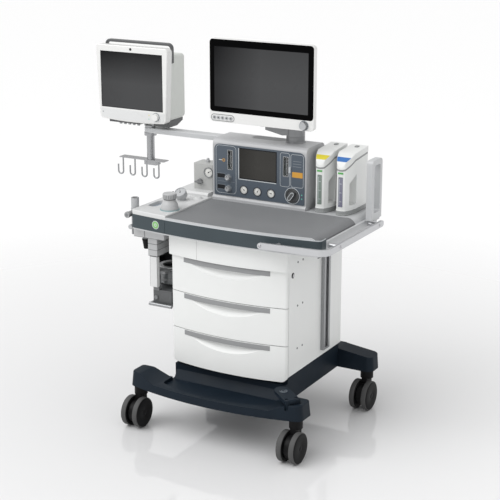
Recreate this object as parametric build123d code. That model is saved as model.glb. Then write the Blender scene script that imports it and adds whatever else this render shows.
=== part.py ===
from build123d import *
import os
from math import cos, radians, sin

"""Anesthesia machine on a four-caster base: millimetres, +Z up, front facing -Y.

Everything is drawn with X = 0 on the cabinet's middle, Y = 0 midway between the front
and rear wheels and Z = 0 on the floor. to_origin then finds the move that puts the
origin at the bottom centre of the whole machine's box.
"""

# Casters
WHEEL_R = 62.5
WHEEL_WIDTH = 26
WHEEL_GAP = 28
TYRE_DEPTH = 12
AXLE_R = 6
SWIVEL_TRAIL = 35
SWIVEL_PIN_R = 10
PIN_TOP = 194
FRONT_STEM = (358, -273)
REAR_STEM = (375, 343)
PIVOT_FIT = 0.05

# Base casting
BASE_BOTTOM = 168
BASE_TOP = 229
TRAY_LIP = 200
TRAY_FLOOR = 186
SPINE_HALF = 256
SPINE_FRONT = -168
SPINE_TOP = 276
BASE_BACK = 394
BASE_WALL = 14

# Brake pedal: its hinge pin stands on the right front arm
PEDAL_HINGE = (345, -283, 238)
PEDAL_TURN = 143
PEDAL_LENGTH = 118
PEDAL_WIDTH = 62

# Cabinet
CABINET_HALF = 264
CABINET_BOTTOM = 278
CABINET_BACK = 308
COVER = 6
FRAME_HALF = 257.5
FRAME_WALL = 4
FRAME_FRONT = -160
CAVITY_HALF = 252
APRON_BACK = -128
LOCK = (-129, 690)
LOCK_R = 7
SCREW_LEVELS = (734, 556, 378)
SCREW_ROWS_Y = (-88, -45)

# Drawers, from the top down: front panel's bottom and top
DRAWERS = {"upper": (566.5, 714.5), "middle": (411.5, 563.5), "lower": (261, 408.5)}
DRAWER_HALF = 263.5
DRAWER_FRONT = -174
DRAWER_BOW = -206
DRAWER_BACK = -162
DRAWER_DEPTH = 414
DRAWER_BOX_HALF = 232
DRAWER_WALL = 4
GRIP_HALF = 196
GRIP_HEIGHT = 20
GRIP_DEPTH = 18
SCOOP_R = 44
SCOOP_SWEEP = 520

# Worktop
TOP_LEFT = -424
TOP_RIGHT = 425
TOP_UNDER = 809
TOP_LEVEL = 880
TOP_FRONT = -218
TOP_BOW = -252
TOP_BACK = 290
CORNER_R = 17
MAT_LEFT = -247
MAT_BACK = 112
MAT_THICK = 6
DECK_BOTTOM = 870
DECK_TOP = 887
STEP_TOP = 904
APL = (-288, -142)
APL_SPINDLE_R = 12
BAND_LOW = 815
BAND_HIGH = 869
BAND_DEPTH = 10

# Accessory rail of 25 x 10 mm flat bar
RAIL_HEIGHT = 25
RAIL_THICK = 10
RAIL_LOW = 828
RAIL_LINE_X = 470

# Control unit
UNIT_LEFT = -244
UNIT_RIGHT = 189
UNIT_FRONT = 122
UNIT_BACK = 285
UNIT_TOP = 1135
UNIT_WALL = 4
PANEL_FRONT = 119
GAUGES = [(-95, 934), (-32, 934), (31, 934)]
PANEL_GAUGE_R = 18
TUBES_X = (-160, 98)
FLOW_KNOBS = {"upper": (-167, 979), "lower": (-167, 932)}
FLOW_SPINDLE_R = 5
SWITCH = (128, 936)
SWITCH_R = 30

# Main monitor
COLUMN = (90, 218)
COLUMN_R = 38
COLUMN_TOP = 1160
SCREEN_X = (-243, 229)
SCREEN_Z = (1210, 1547)
SCREEN_FRONT = 100
SCREEN_DEPTH = 28
TILT_AXIS = (-7, 152, 1330)
TILT_PIN_R = 6
ARM_BEAM_TOP = 1238
MONITOR_KNOB = (187, 1231)
KNOB_SPINDLE_R = 4

# Arm and patient monitor
MAST = (-272, 262)
MAST_R = 17
ARM_LOW = 1097
ARM_HIGH = 1119
ARM_WIDTH = 50
HANGER = (-642, 262)
HANGER_R = 17
HOOK_PITCH = 62
PATIENT_X = (-876, -508)
PATIENT_Z = (1145, 1470)
PATIENT_FRONT = 200
PATIENT_BACK = 360
PATIENT_SHELL_X = (-844.5, -521.5)
PATIENT_TILT = (-642, 262, 1140)
PATIENT_PIN_R = 4
PATIENT_KNOB = (-571, 1177)

# Vaporizers
VAPORIZER_X = {"left": 246, "right": 338}
VAPORIZER_WIDTH = 72
VAPORIZER_Y = (125, 300)
VAPORIZER_LIFT = 60
SHOULDER = [(122, 1065), (185, 1100), (303, 1112)]

# Breathing system at the left
CANISTER = (-334, -50)
CANISTER_R = 58
GUIDE_R = 20
PORT = (-441.5, -162)
LEVER_AXIS = (-334, -50, 486)
LEVER_REACH = 116
LEVER_PIN_R = 6
SUCTION_GAUGE = (-281, 980)
SUCTION_KNOB = (-322, 938)
AIRWAY_GAUGE = (-330, 8)

parts = {}


def block(x, y, z):
    """Rectangular block between a low and a high value on each axis."""
    spans = (x, y, z)
    middle = [(low + high) / 2 for low, high in spans]
    return Pos(*middle) * Box(*[high - low for low, high in spans])


def rod(start, end, radius, end_radius=None):
    """Straight round bar between two points, tapered if it has an end radius."""
    start, end = Vector(*start), Vector(*end)
    plane = Plane(origin=start, z_dir=end - start)
    height = (end - start).length
    if end_radius is None:
        return extrude(plane * Circle(radius), height)
    middle = plane * Pos(0, 0, height / 2)
    return middle * Cone(radius, end_radius, height)


def along_x(points, low, high):
    """Solid whose outline in Y and Z runs from one X to another."""
    face = make_face(Plane.YZ * Polyline(*points, close=True))
    return Pos(low, 0, 0) * extrude(face, high - low, dir=(1, 0, 0))


def along_y(points, low, high):
    """Solid whose outline in X and Z runs from one Y to another."""
    face = make_face(Plane.XZ * Polyline(*points, close=True))
    return Pos(0, low, 0) * extrude(face, high - low, dir=(0, 1, 0))


def bowed_face(x, corner, bow, back, radius=0):
    """Plan outline with a straight back and a front that bows out in one arc."""
    low, high = x
    front = ThreePointArc((low, corner), ((low + high) / 2, bow), (high, corner))
    sides = Polyline((high, corner), (high, back), (low, back), (low, corner))
    face = make_face(front + sides)
    if radius:
        face = fillet(face.vertices().sort_by(Axis.Y)[:2], radius)
    return face


def bowed_block(x, corner, bow, back, z, radius=0):
    """Upright solid on a bowed plan outline."""
    low, high = z
    face = bowed_face(x, corner, bow, back, radius)
    return Pos(0, 0, low) * extrude(face, high - low, dir=(0, 0, 1))


def upright_edges(solid):
    return solid.edges().filter_by(Axis.Z)


def mirrored(solid):
    return mirror(solid, Plane.YZ)


def casters():
    """Yield each caster's name, stem X and stem Y."""
    for row, (x, y) in {"front": FRONT_STEM, "rear": REAR_STEM}.items():
        yield f"{row}_left", -x, y
        yield f"{row}_right", x, y


def base_chassis():
    """Cast base: bowed footrest tray in front, spine under the cabinet, four arms."""
    face = bowed_face((-394, 394), -300, -356, -204, 34)
    face = fillet(face.vertices().group_by(Axis.Y)[-1], 22)
    front = Pos(0, 0, BASE_BOTTOM) * extrude(face, BASE_TOP - BASE_BOTTOM, taper=6)
    front = fillet(front.faces().sort_by(Axis.Z)[-1].edges(), 5)
    tray_mouth = along_y([(-340, 230), (-262, TRAY_LIP), (262, TRAY_LIP), (340, 230)], -400, SPINE_FRONT)
    tray = bowed_block((-246, 246), -282, -334, SPINE_FRONT, (TRAY_FLOOR, 230), 20)
    spine = block((-SPINE_HALF, SPINE_HALF), (DRAWER_BACK + 12, CABINET_BACK), (BASE_BOTTOM, SPINE_TOP))
    spine += block((-SPINE_HALF, SPINE_HALF), (CABINET_BACK - 20, BASE_BACK - 2), (BASE_BOTTOM, 248))
    spine += block((-SPINE_HALF, SPINE_HALF), (SPINE_FRONT, DRAWER_BACK + 12), (BASE_BOTTOM, 246))
    rear = extrude(Pos(0, (300 + BASE_BACK) / 2) * RectangleRounded(828, BASE_BACK - 300, 30), 110, taper=4)
    rear = Pos(0, 0, BASE_BOTTOM) * rear
    slope = [(-420, 160), (-420, 228), (-256, 248), (256, 248), (420, 228), (420, 160)]
    rear = rear & along_y(slope, 290, 400)
    floor = block((-SPINE_HALF, SPINE_HALF), (-240, SPINE_FRONT + 1), (BASE_BOTTOM, TRAY_FLOOR))
    rise = [(SPINE_FRONT + 1, TRAY_FLOOR - 1), (SPINE_FRONT - 26, TRAY_FLOOR - 1), (SPINE_FRONT + 1, 222)]
    toe = along_x(rise, -248, 248)
    base = front - tray_mouth - tray + floor + toe
    inner = SPINE_HALF - BASE_WALL
    hollow = block((-inner, inner), (SPINE_FRONT + 12, 378), (BASE_BOTTOM - 1, 234))
    under = (BASE_BOTTOM - 1, SPINE_TOP - BASE_WALL)
    hollow += block((-inner, inner), (DRAWER_BACK + 26, CABINET_BACK - 14), under)
    base = base + spine + rear - hollow
    for _, x, y in casters():
        base -= rod((x, y, BASE_BOTTOM - 1), (x, y, PIN_TOP + 1), SWIVEL_PIN_R + PIVOT_FIT)
    return base - pedal_well() + pedal_lugs()


def pedal_frame():
    """The pedal's own axes: its hinge at the origin, X towards its tip."""
    return Pos(*PEDAL_HINGE) * Rot(0, 0, PEDAL_TURN)


def pedal_well():
    """Pocket in the arm's top that the pedal sinks into."""
    half = PEDAL_WIDTH / 2 + 3
    return pedal_frame() * block((-12, PEDAL_LENGTH + 4), (-half, half), (-30, 20))


def pedal_lugs():
    """Two ears and the hinge pin between them."""
    ears = [block((-8, 8), (side - 5, side + 5), (-31, 8)) for side in (-21, 21)]
    pin = rod((0, -26, 0), (0, 26, 0), 4)
    return pedal_frame() * (ears[0] + ears[1] + pin)


def brake_pedal():
    """Tread plate that rises from its knuckle to a rounded tip."""
    side = [(-9, -6), (-9, 4), (-4, 9), (PEDAL_LENGTH, 18), (PEDAL_LENGTH, 6), (10, -6)]
    plate = along_y(side, -PEDAL_WIDTH / 2, PEDAL_WIDTH / 2)
    tip = plate.edges().filter_by(Axis.Z).sort_by(Axis.X)[-2:]
    plate = fillet(tip, 28)
    for side_y in (-21, 21):
        plate -= block((-12, 12), (side_y - 6, side_y + 6), (-10, 12))
    plate -= rod((0, -40, 0), (0, 40, 0), 4 + PIVOT_FIT)
    return pedal_frame() * plate


def caster_housing(x, y):
    """Swivel pin, stem and the fender between the two wheels."""
    wheel_y = y - SWIVEL_TRAIL
    pin = rod((x, y, 140), (x, y, PIN_TOP), SWIVEL_PIN_R)
    stem = rod((x, y, 130), (x, y, BASE_BOTTOM - 0.5), 27)
    fender = rod((x - 12, wheel_y, WHEEL_R), (x + 12, wheel_y, WHEEL_R), 46)
    neck = block((x - 12, x + 12), (y - 27, y + 24), (80, 135))
    axle_hole = rod((x - 13, wheel_y, WHEEL_R), (x + 13, wheel_y, WHEEL_R), AXLE_R + PIVOT_FIT)
    return pin + stem + fender + neck - axle_hole


def caster_wheels(x, y):
    """Two hubs on one axle, each in its own tyre."""
    wheel_y = y - SWIVEL_TRAIL
    hubs = rod((x - 20, wheel_y, WHEEL_R), (x + 20, wheel_y, WHEEL_R), AXLE_R)
    tyres = []
    rim = WHEEL_R - TYRE_DEPTH
    for side in (-1, 1):
        inner = x + side * WHEEL_GAP / 2
        outer = inner + side * WHEEL_WIDTH
        hubs += rod((inner, wheel_y, WHEEL_R), (outer - side * 2, wheel_y, WHEEL_R), rim)
        tyre = rod((inner, wheel_y, WHEEL_R), (outer, wheel_y, WHEEL_R), WHEEL_R)
        tyre = fillet(tyre.edges().filter_by(GeomType.CIRCLE), 5)
        tyres.append(tyre - rod((inner - side, wheel_y, WHEEL_R), (outer + side, wheel_y, WHEEL_R), rim))
    return Compound(children=[hubs, *tyres])


def side_cover():
    """Right-hand cover panel with its screw holes and the lock's hole."""
    height = (CABINET_BOTTOM, TOP_UNDER - 0.5)
    panel = block((CABINET_HALF - COVER, CABINET_HALF), (FRAME_FRONT, CABINET_BACK), height)
    for y, z in screw_places():
        panel -= rod((CABINET_HALF - 8, y, z), (CABINET_HALF + 1, y, z), 2.6)
    return panel


def screw_places():
    """Y and Z of the cover screws on one side of the cabinet."""
    return [(y, z) for z in SCREW_LEVELS for y in SCREW_ROWS_Y]


def cabinet_covers():
    """Left and right side covers and the rear cover."""
    lock_hole = rod((240, *LOCK), (270, *LOCK), LOCK_R + PIVOT_FIT)
    right = side_cover() - lock_hole
    height = (CABINET_BOTTOM, TOP_UNDER - 0.5)
    rear = block((-FRAME_HALF, FRAME_HALF), (CABINET_BACK - COVER, CABINET_BACK), height)
    return Compound(children=[right, mirrored(side_cover()), rear])


def cabinet_frame():
    """Welded frame: a cell for each drawer, one behind the apron, and the runners."""
    height = (SPINE_TOP, TOP_UNDER - 0.5)
    frame = block((-FRAME_HALF, FRAME_HALF), (FRAME_FRONT, CABINET_BACK - COVER - 0.5), height)
    levels = [SPINE_TOP, 410, 565, 716, TOP_UNDER]
    for low, high in zip(levels, levels[1:]):
        inside = (low + FRAME_WALL, high - FRAME_WALL / 2)
        frame -= block((-CAVITY_HALF, CAVITY_HALF), (FRAME_FRONT - 1, CABINET_BACK - COVER - 6), inside)
    frame -= rod((240, *LOCK), (270, *LOCK), LOCK_R + PIVOT_FIT)
    return Compound(children=[frame, *drawer_runners()])


def front_apron():
    """Fixed panel above the drawers, wrapped round both front corners."""
    span = (-271, 271)
    low, high = 717, TOP_UNDER - 0.5
    apron = bowed_block(span, -186, -218, APRON_BACK, (low, high), 14)
    hollow = bowed_block((-264.5, 264.5), -174, -206, FRAME_FRONT, (low + 5, high - 5))
    hollow += block((-264.5, 264.5), (FRAME_FRONT - 0.5, APRON_BACK + 1), (low - 1, high + 1))
    seam = block((-122.6, -121.4), (-230, -208.5), (low - 1, high + 1))
    return apron - hollow - seam


def grip_band(low, high, front_offset=0):
    """Arc-shaped bar that follows the drawer front."""
    corner, bow = DRAWER_FRONT + 10.2 - front_offset, DRAWER_BOW - front_offset
    outer = bowed_block((-300, 300), corner, bow, 0, (low, high))
    corner, bow = DRAWER_FRONT + 11.6 + GRIP_DEPTH, DRAWER_BOW + GRIP_DEPTH
    inner = bowed_block((-310, 310), corner, bow, 1, (low - 1, high + 1))
    return (outer - inner) & block((-GRIP_HALF, GRIP_HALF), (-260, -140), (low, high))


def drawer(low, high):
    """White drawer: bowed front with a finger scoop, and the box behind it."""
    back = DRAWER_BACK + DRAWER_DEPTH
    box_low, box_high = drawer_box_z(low, high)
    outer = (-DRAWER_BOX_HALF, DRAWER_BOX_HALF)
    box = block(outer, (DRAWER_BACK, back), (box_low, box_high))
    inside = (-DRAWER_BOX_HALF + DRAWER_WALL, DRAWER_BOX_HALF - DRAWER_WALL)
    depth = (DRAWER_BACK + DRAWER_WALL, back - DRAWER_WALL)
    box -= block(inside, depth, (box_low + DRAWER_WALL, box_high + 1))
    middle = (box_low + box_high) / 2
    slide = block((DRAWER_BOX_HALF, DRAWER_BOX_HALF + 8), (DRAWER_BACK, back - 10), (middle - 9, middle + 9))
    return Compound(children=[drawer_front(low, high), box + slide + mirrored(slide)])


def drawer_box_z(low, high):
    """Lowest and highest point of a drawer's box."""
    return max(low, CABINET_BOTTOM) + 18, high - 38


def drawer_front(low, high):
    """Bowed front with the scoop under its grip, hollow at the back below the scoop."""
    span = (-DRAWER_HALF, DRAWER_HALF)
    front = bowed_block(span, DRAWER_FRONT, DRAWER_BOW, DRAWER_BACK, (low, high), 12)
    if low < CABINET_BOTTOM:
        half = DRAWER_HALF + 1
        outline = Polyline((-half, low), (half, low), (half, high), (-half, high), close=True)
        face = make_face(Plane.XZ * outline)
        face = fillet(face.vertices().group_by(Axis.Z)[0], 24)
        front = front & Pos(0, -300, 0) * extrude(face, 300, dir=(0, 1, 0))
    grip_low = high - 2 - GRIP_HEIGHT
    scoop = Pos(0, -232, grip_low - 2 + SCOOP_SWEEP) * Rot(90, 0, 0) * Torus(SCOOP_SWEEP, SCOOP_R)
    scoop = scoop & block((-GRIP_HALF + 4, GRIP_HALF - 4), (-300, -150), (low, grip_low))
    span = (-DRAWER_HALF + 6, DRAWER_HALF - 6)
    pocket = bowed_block(span, DRAWER_FRONT + 8, DRAWER_BOW + 7, DRAWER_BACK + 1, (low + 6, grip_low - 52))
    return front - scoop - pocket - grip_band(grip_low, high - 2, 2)


def drawer_grip(high):
    """Grey pull strip let into the drawer front's top."""
    return grip_band(high - 2 - GRIP_HEIGHT, high - 2, 2)


def drawer_runners():
    """Fixed members of the three pairs of drawer slides, on the frame's walls."""
    rails = []
    for low, high in DRAWERS.values():
        middle = sum(drawer_box_z(low, high)) / 2
        rail = block((240.5, CAVITY_HALF), (FRAME_FRONT + 4, 256), (middle - 14, middle + 14))
        rail -= block((240, 248.5), (FRAME_FRONT, 260), (middle - 10, middle + 10))
        rails += [rail, mirrored(rail)]
    return rails


def drawer_lock():
    """Key-operated lock barrel through the right cover, with its cam inside."""
    y, z = LOCK
    barrel = rod((247, y, z), (268, y, z), LOCK_R)
    slot = block((265.5, 269), (y - 0.8, y + 0.8), (z - 4, z + 4))
    cam = block((244, 247), (y - 5, y + 5), (z - 5, z + 16))
    return barrel - slot + cam


def side_channel():
    """Aluminium accessory channel up the right cover, with a T-shaped slot."""
    low, high = 303, TOP_UNDER - 1
    profile = block((CABINET_HALF, CABINET_HALF + 15), (119, 174), (low, high))
    profile -= block((CABINET_HALF + 4, CABINET_HALF + 11), (127, 166), (low + 8, high + 1))
    profile -= block((CABINET_HALF + 10, CABINET_HALF + 16), (134, 159), (low + 8, high + 1))
    return profile


def cover_screws():
    """Countersunk cover screws, six on each side."""
    screws = []
    for y, z in screw_places():
        shank = rod((CABINET_HALF - COVER, y, z), (CABINET_HALF, y, z), 2.5)
        head = rod((CABINET_HALF, y, z), (CABINET_HALF + 2, y, z), 4.5, 3.2)
        screws += [shank + head, mirrored(shank + head)]
    return Compound(children=screws)


def worktop_outline(inset=0):
    """Plan outline of the worktop, drawn in by an even margin."""
    x = (TOP_LEFT + inset, TOP_RIGHT - inset)
    return bowed_face(x, TOP_FRONT + inset, TOP_BOW + inset, TOP_BACK - inset, CORNER_R - inset)


def worktop_prism(low, high, inset=0):
    return Pos(0, 0, low) * extrude(worktop_outline(inset), high - low, dir=(0, 0, 1))


def roll_section(drop):
    """Section in X and Z below the worktop's surface, whose right edge rolls down."""
    top = TOP_LEVEL - drop
    right = 414 - drop
    flat = Line((TOP_LEFT - 10, top), (368, top))
    roll = ThreePointArc((368, top), (368 + (right - 368) * 0.7, top - 6.5), (right, TOP_LEVEL - 24))
    rest = Polyline((right, TOP_LEVEL - 24), (right, 700), (TOP_LEFT - 10, 700), (TOP_LEFT - 10, top))
    return make_face(Plane.XZ * (flat + roll + rest))


def rolled_solid(drop, y):
    low, high = y
    return Pos(0, low, 0) * extrude(roll_section(drop), high - low, dir=(0, 1, 0))


def worktop_tray():
    """Light moulding that carries the mat, the deck, the band and the control unit."""
    tray = worktop_prism(TOP_UNDER, TOP_LEVEL) & rolled_solid(0, (-300, 300))
    wall = worktop_prism(TOP_UNDER, TOP_LEVEL - 22) - block((-500, 412), (-300, 300), (700, 900))
    tray = tray + wall
    plan = worktop_prism(BAND_HIGH, 900, 5) + worktop_prism(800, BAND_HIGH, BAND_DEPTH + 0.5)
    above_mat = rolled_solid(-20, (-300, MAT_BACK)) - rolled_solid(MAT_THICK, (-300, MAT_BACK))
    tray -= plan & above_mat & block((MAT_LEFT, 500), (-300, MAT_BACK), (700, 950))
    tray -= block((-500, MAT_LEFT), (-300, 300), (DECK_BOTTOM, 950))
    tray -= band_ring()
    pockets = [(-412, -290), (-262, 262), (280, 400)]
    for x in pockets:
        tray -= block(x, (-196, 272), (TOP_UNDER - 1, TOP_LEVEL - 28))
    return tray


def band_ring():
    """Space of the dark front band, round the front and both front corners."""
    ring = worktop_prism(BAND_LOW, BAND_HIGH) - worktop_prism(BAND_LOW - 1, BAND_HIGH + 1, BAND_DEPTH)
    return ring & block((-500, 500), (-300, -170), (800, 900))


def front_band():
    """Dark band with a joint line under the deck's right edge."""
    seam = block((MAT_LEFT - 0.6, MAT_LEFT + 0.6), (-300, -240), (800, 900))
    return band_ring() - seam


def worktop_mat():
    """Grey mat that follows the worktop's rolled right edge."""
    sheet = rolled_solid(0, (-300, MAT_BACK)) - rolled_solid(MAT_THICK, (-310, 310))
    plan = worktop_prism(BAND_HIGH + 0.2, 900, 5.3) + worktop_prism(800, BAND_HIGH + 0.2, BAND_DEPTH + 0.8)
    mat = sheet & plan & block((MAT_LEFT + 0.3, 411.5), (-300, MAT_BACK - 0.3), (700, 950))
    return mat.solids().sort_by(SortBy.VOLUME)[-1]


def left_deck():
    """White deck over the breathing system, with a long finger recess."""
    deck = worktop_prism(DECK_BOTTOM, DECK_TOP) & block((-500, MAT_LEFT - 0.3), (-300, 300), (800, 900))
    deck = chamfer(deck.faces().sort_by(Axis.Z)[-1].edges(), 2.5)
    recess = Pos(-382, -86, DECK_TOP - 12) * extrude(SlotOverall(104, 42, rotation=90), 20)
    step = block((-410, MAT_LEFT - 8), (96, 286), (DECK_TOP, STEP_TOP))
    step = chamfer(step.edges().filter_by(Axis.X).sort_by(Axis.Z)[-2:], 8)
    dome = Pos(-283, 62, DECK_TOP) * Cone(25, 14, 9, align=(Align.CENTER, Align.CENTER, Align.MIN))
    deck = deck - recess + step + dome
    return deck - rod((*APL, 850), (*APL, 900), APL_SPINDLE_R + PIVOT_FIT)


def apl_valve():
    """Pressure-limiting valve: waisted body under a ribbed cap, on its spindle."""
    x, y = APL
    spindle = rod((x, y, DECK_BOTTOM + 4), (x, y, DECK_TOP + 1), APL_SPINDLE_R)
    flange = rod((x, y, DECK_TOP + 0.5), (x, y, DECK_TOP + 8), 37)
    skirt = rod((x, y, DECK_TOP + 8), (x, y, DECK_TOP + 24), 36, 32)
    skirt += rod((x, y, DECK_TOP + 24), (x, y, DECK_TOP + 40), 32, 23)
    neck = rod((x, y, DECK_TOP + 40), (x, y, DECK_TOP + 46), 23)
    cap = rod((x, y, DECK_TOP + 46), (x, y, DECK_TOP + 66), 27)
    ribs = [
        rod((x + 27 * cos(turn), y + 27 * sin(turn), DECK_TOP + 48),
            (x + 27 * cos(turn), y + 27 * sin(turn), DECK_TOP + 64), 1.4)
        for turn in [radians(15 * step) for step in range(24)]
    ]
    valve = spindle + flange + skirt + neck + cap
    for rib in ribs:
        valve += rib
    return valve


def side_rail():
    """Flat-bar rail along the front and right of the worktop, on stand-offs."""
    line = FilletPolyline((193, -284), (RAIL_LINE_X, -262), (RAIL_LINE_X, 246), radius=40)
    bar = Pos(0, 0, RAIL_LOW) * extrude(trace(line, RAIL_THICK), RAIL_HEIGHT)
    middle = RAIL_LOW + RAIL_HEIGHT / 2
    keep = along_x([(-300, 820), (-300, 860), (234, 860), (234, 820)], 206, 500)
    keep += rod((460, 234, middle), (480, 234, middle), RAIL_HEIGHT / 2)
    keep += rod((206, -300, middle), (206, -260, middle), RAIL_HEIGHT / 2)
    bar = bar & keep
    for y in (-150, 205):
        bar += rod((TOP_RIGHT, y, middle), (RAIL_LINE_X, y, middle), 9)
    bar += rod((262, -240.2, middle), (262, -278, middle), 9)
    return bar


def guard_handle():
    """Upright ring-shaped handle on the worktop's right wall."""
    x = (430, 456)
    ring = block(x, (168, 262), (862, 1104))
    ring = fillet(ring.edges().filter_by(Axis.X).sort_by(Axis.Z)[-2:], 16)
    opening = block((420, 470), (188, 243), (890, 1082))
    opening = fillet(opening.edges().filter_by(Axis.X), 8)
    foot = block((TOP_RIGHT, 456), (196, 246), (RAIL_LOW + RAIL_HEIGHT + 3, 872))
    return ring - opening + foot


def unit_section(inset=0):
    """Side outline of the control unit, with rounded top edges."""
    front, back, top, low = UNIT_FRONT + inset, UNIT_BACK - inset, UNIT_TOP - inset, TOP_LEVEL + inset
    face = make_face(Plane.YZ * Polyline((front, low), (front, top), (back, top), (back, low), close=True))
    top_corners = face.vertices().group_by(Axis.Z)[-1]
    return fillet(top_corners, 26 - inset)


def unit_housing():
    """Light shell of the control unit, with the panel's recess and a front lip."""
    width = UNIT_RIGHT - UNIT_LEFT
    shell = Pos(UNIT_LEFT, 0, 0) * extrude(unit_section(), width, dir=(1, 0, 0))
    inside = extrude(unit_section(UNIT_WALL), width - 2 * UNIT_WALL, dir=(1, 0, 0))
    inner = Pos(UNIT_LEFT + UNIT_WALL, 0, 0) * inside
    nose = UNIT_FRONT - 8
    lip = [(UNIT_FRONT, TOP_LEVEL), (nose, TOP_LEVEL), (nose, 890), (UNIT_FRONT, 898)]
    lip = along_x(lip, UNIT_LEFT, UNIT_RIGHT)
    shell = shell + lip - inner
    shell -= block((-226, 174), (UNIT_FRONT - 1, UNIT_FRONT + 5), (906, 1108))
    return shell - Pos(-34, 228, UNIT_TOP - 2.5) * extrude(SlotOverall(160, 58), 4)


def panel_outline(inset=0):
    """Front outline of the control panel, with large upper corners."""
    face = make_face(Plane.XZ * Polyline(
        (-235 + inset, 901 + inset), (182 - inset, 901 + inset),
        (182 - inset, 1115 - inset), (-235 + inset, 1115 - inset), close=True))
    corners = face.vertices().group_by(Axis.Z)
    face = fillet(corners[-1], 24 - inset)
    return fillet(face.vertices().group_by(Axis.Z)[0], 6)


def unit_panel():
    """Blue-grey control panel with openings for its instruments."""
    panel = Pos(0, PANEL_FRONT, 0) * extrude(panel_outline(), UNIT_FRONT - PANEL_FRONT, dir=(0, 1, 0))
    panel -= block((-119, 57), (100, 130), (979, 1108))
    for x, z in GAUGES:
        panel -= rod((x, 100, z), (x, 130, z), PANEL_GAUGE_R)
    for x in TUBES_X:
        panel -= block((x - 12, x + 12), (100, 130), (1012, 1093))
    for x, z in FLOW_KNOBS.values():
        panel -= rod((x, 100, z), (x, 130, z), FLOW_SPINDLE_R + PIVOT_FIT)
    panel -= rod((SWITCH[0], 100, SWITCH[1]), (SWITCH[0], 130, SWITCH[1]), SWITCH_R)
    return panel


def unit_display():
    """Display module let into the panel."""
    return block((-118.5, 56.5), (PANEL_FRONT + 0.5, 140), (979.5, 1107.5))


def flow_tubes():
    """Two clear flow tubes in their slots, each with a float inside."""
    pieces = []
    for x in TUBES_X:
        holder = block((x - 11.5, x + 11.5), (PANEL_FRONT + 2, 140), (1012.5, 1092.5))
        holder -= block((x - 8, x + 8), (PANEL_FRONT + 1, 136), (1018, 1087))
        tube = rod((x, 129, 1018), (x, 129, 1087), 6.5) - rod((x, 129, 1017), (x, 129, 1088), 4.5)
        pieces += [holder + tube, Pos(x, 129, 1046) * Sphere(4)]
    return Compound(children=pieces)


def gauge(x, z, front, radius):
    """Round gauge facing the front: bezel ring and dial."""
    case = rod((x, front, z), (x, front + 18, z), radius)
    return case - rod((x, front - 1, z), (x, front + 2.5, z), radius - 2.5)


def airway_gauge():
    """Airway-pressure gauge on the deck, its dial tilted up to the user."""
    x, y = AIRWAY_GAUGE
    place = Pos(x, y, DECK_TOP + 26) * Rot(35, 0, 0)
    case = place * (Cylinder(25, 24) - Pos(0, 0, 11) * Cylinder(22, 4))
    stem = rod((x, y + 6, DECK_TOP), (x, y + 6, DECK_TOP + 20), 20, 16)
    return case + stem


def gauge_set():
    """Five round gauges: three in the panel, suction and airway pressure."""
    gauges = [gauge(x, z, PANEL_FRONT - 1.5, PANEL_GAUGE_R - 0.5) for x, z in GAUGES]
    gauges.append(gauge(*SUCTION_GAUGE, 146, 20))
    gauges.append(airway_gauge())
    return Compound(children=gauges)


def flow_knob(x, z):
    """Knurled flow-control knob on its spindle."""
    knob = rod((x, PANEL_FRONT - 0.5, z), (x, PANEL_FRONT - 16, z), 11, 9.5)
    spindle = rod((x, PANEL_FRONT - 1, z), (x, UNIT_FRONT + 8, z), FLOW_SPINDLE_R)
    return knob + spindle - rod((x, PANEL_FRONT - 15, z), (x, PANEL_FRONT - 17, z), 6)


def system_switch():
    """Large rotary switch: dished disc with a raised lever across it."""
    x, z = SWITCH
    disc = rod((x, PANEL_FRONT - 4, z), (x, PANEL_FRONT + 6, z), SWITCH_R - 2)
    disc -= rod((x, PANEL_FRONT - 6, z), (x, PANEL_FRONT + 1, z), SWITCH_R - 5)
    bar = Pos(x, PANEL_FRONT - 6, z) * Rot(0, 35, 0) * Box(13, 18, 42)
    bar = fillet(bar.edges().filter_by(Axis.Y), 6)
    spindle = rod((x, PANEL_FRONT + 5, z), (x, UNIT_FRONT + 12, z), 8)
    return disc + bar + spindle


def monitor_column():
    """Round column on the control unit, with a bearing pin for the arm."""
    x, y = COLUMN
    flare = rod((x, y, UNIT_TOP), (x, y, UNIT_TOP + 6), COLUMN_R + 4, COLUMN_R)
    pin = rod((x, y, COLUMN_TOP - 10), (x, y, COLUMN_TOP + 60), 14)
    return rod((x, y, UNIT_TOP), (x, y, COLUMN_TOP), COLUMN_R) + flare + pin


def monitor_arm():
    """Swivel arm from the column up to the tilt fork behind the screen."""
    x, y = COLUMN
    hub = rod((x, y, COLUMN_TOP + 0.5), (x, y, ARM_BEAM_TOP + 2), COLUMN_R)
    tx, ty, tz = TILT_AXIS
    beam = Polyline((x, y + 24), (x, y - 24), (tx, ty - 14), (tx, ty + 26), close=True)
    beam_low = COLUMN_TOP + 6
    beam = Pos(0, 0, beam_low) * extrude(make_face(beam), ARM_BEAM_TOP - beam_low, dir=(0, 0, 1))
    hub_side = x - COLUMN_R
    wedge = [(tx - 60, 1100), (hub_side, 1100), (hub_side, beam_low), (tx - 26, 1200), (tx - 60, 1200)]
    beam -= along_y(wedge, 100, 300)
    upright = block((tx - 26, tx + 26), (ty - 10, ty + 26), (1200, tz - 22))
    ears = []
    for side in (-1, 1):
        edge = sorted((tx + side * 16, tx + side * 26))
        ears.append(block(edge, (ty - 10, ty + 26), (tz - 24, tz + 14)))
    arm = hub + beam + upright + ears[0] + ears[1]
    arm -= rod((x, y, COLUMN_TOP), (x, y, COLUMN_TOP + 61), 14 + PIVOT_FIT)
    return arm + rod((tx - 20, ty, tz), (tx + 20, ty, tz), TILT_PIN_R)


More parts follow.
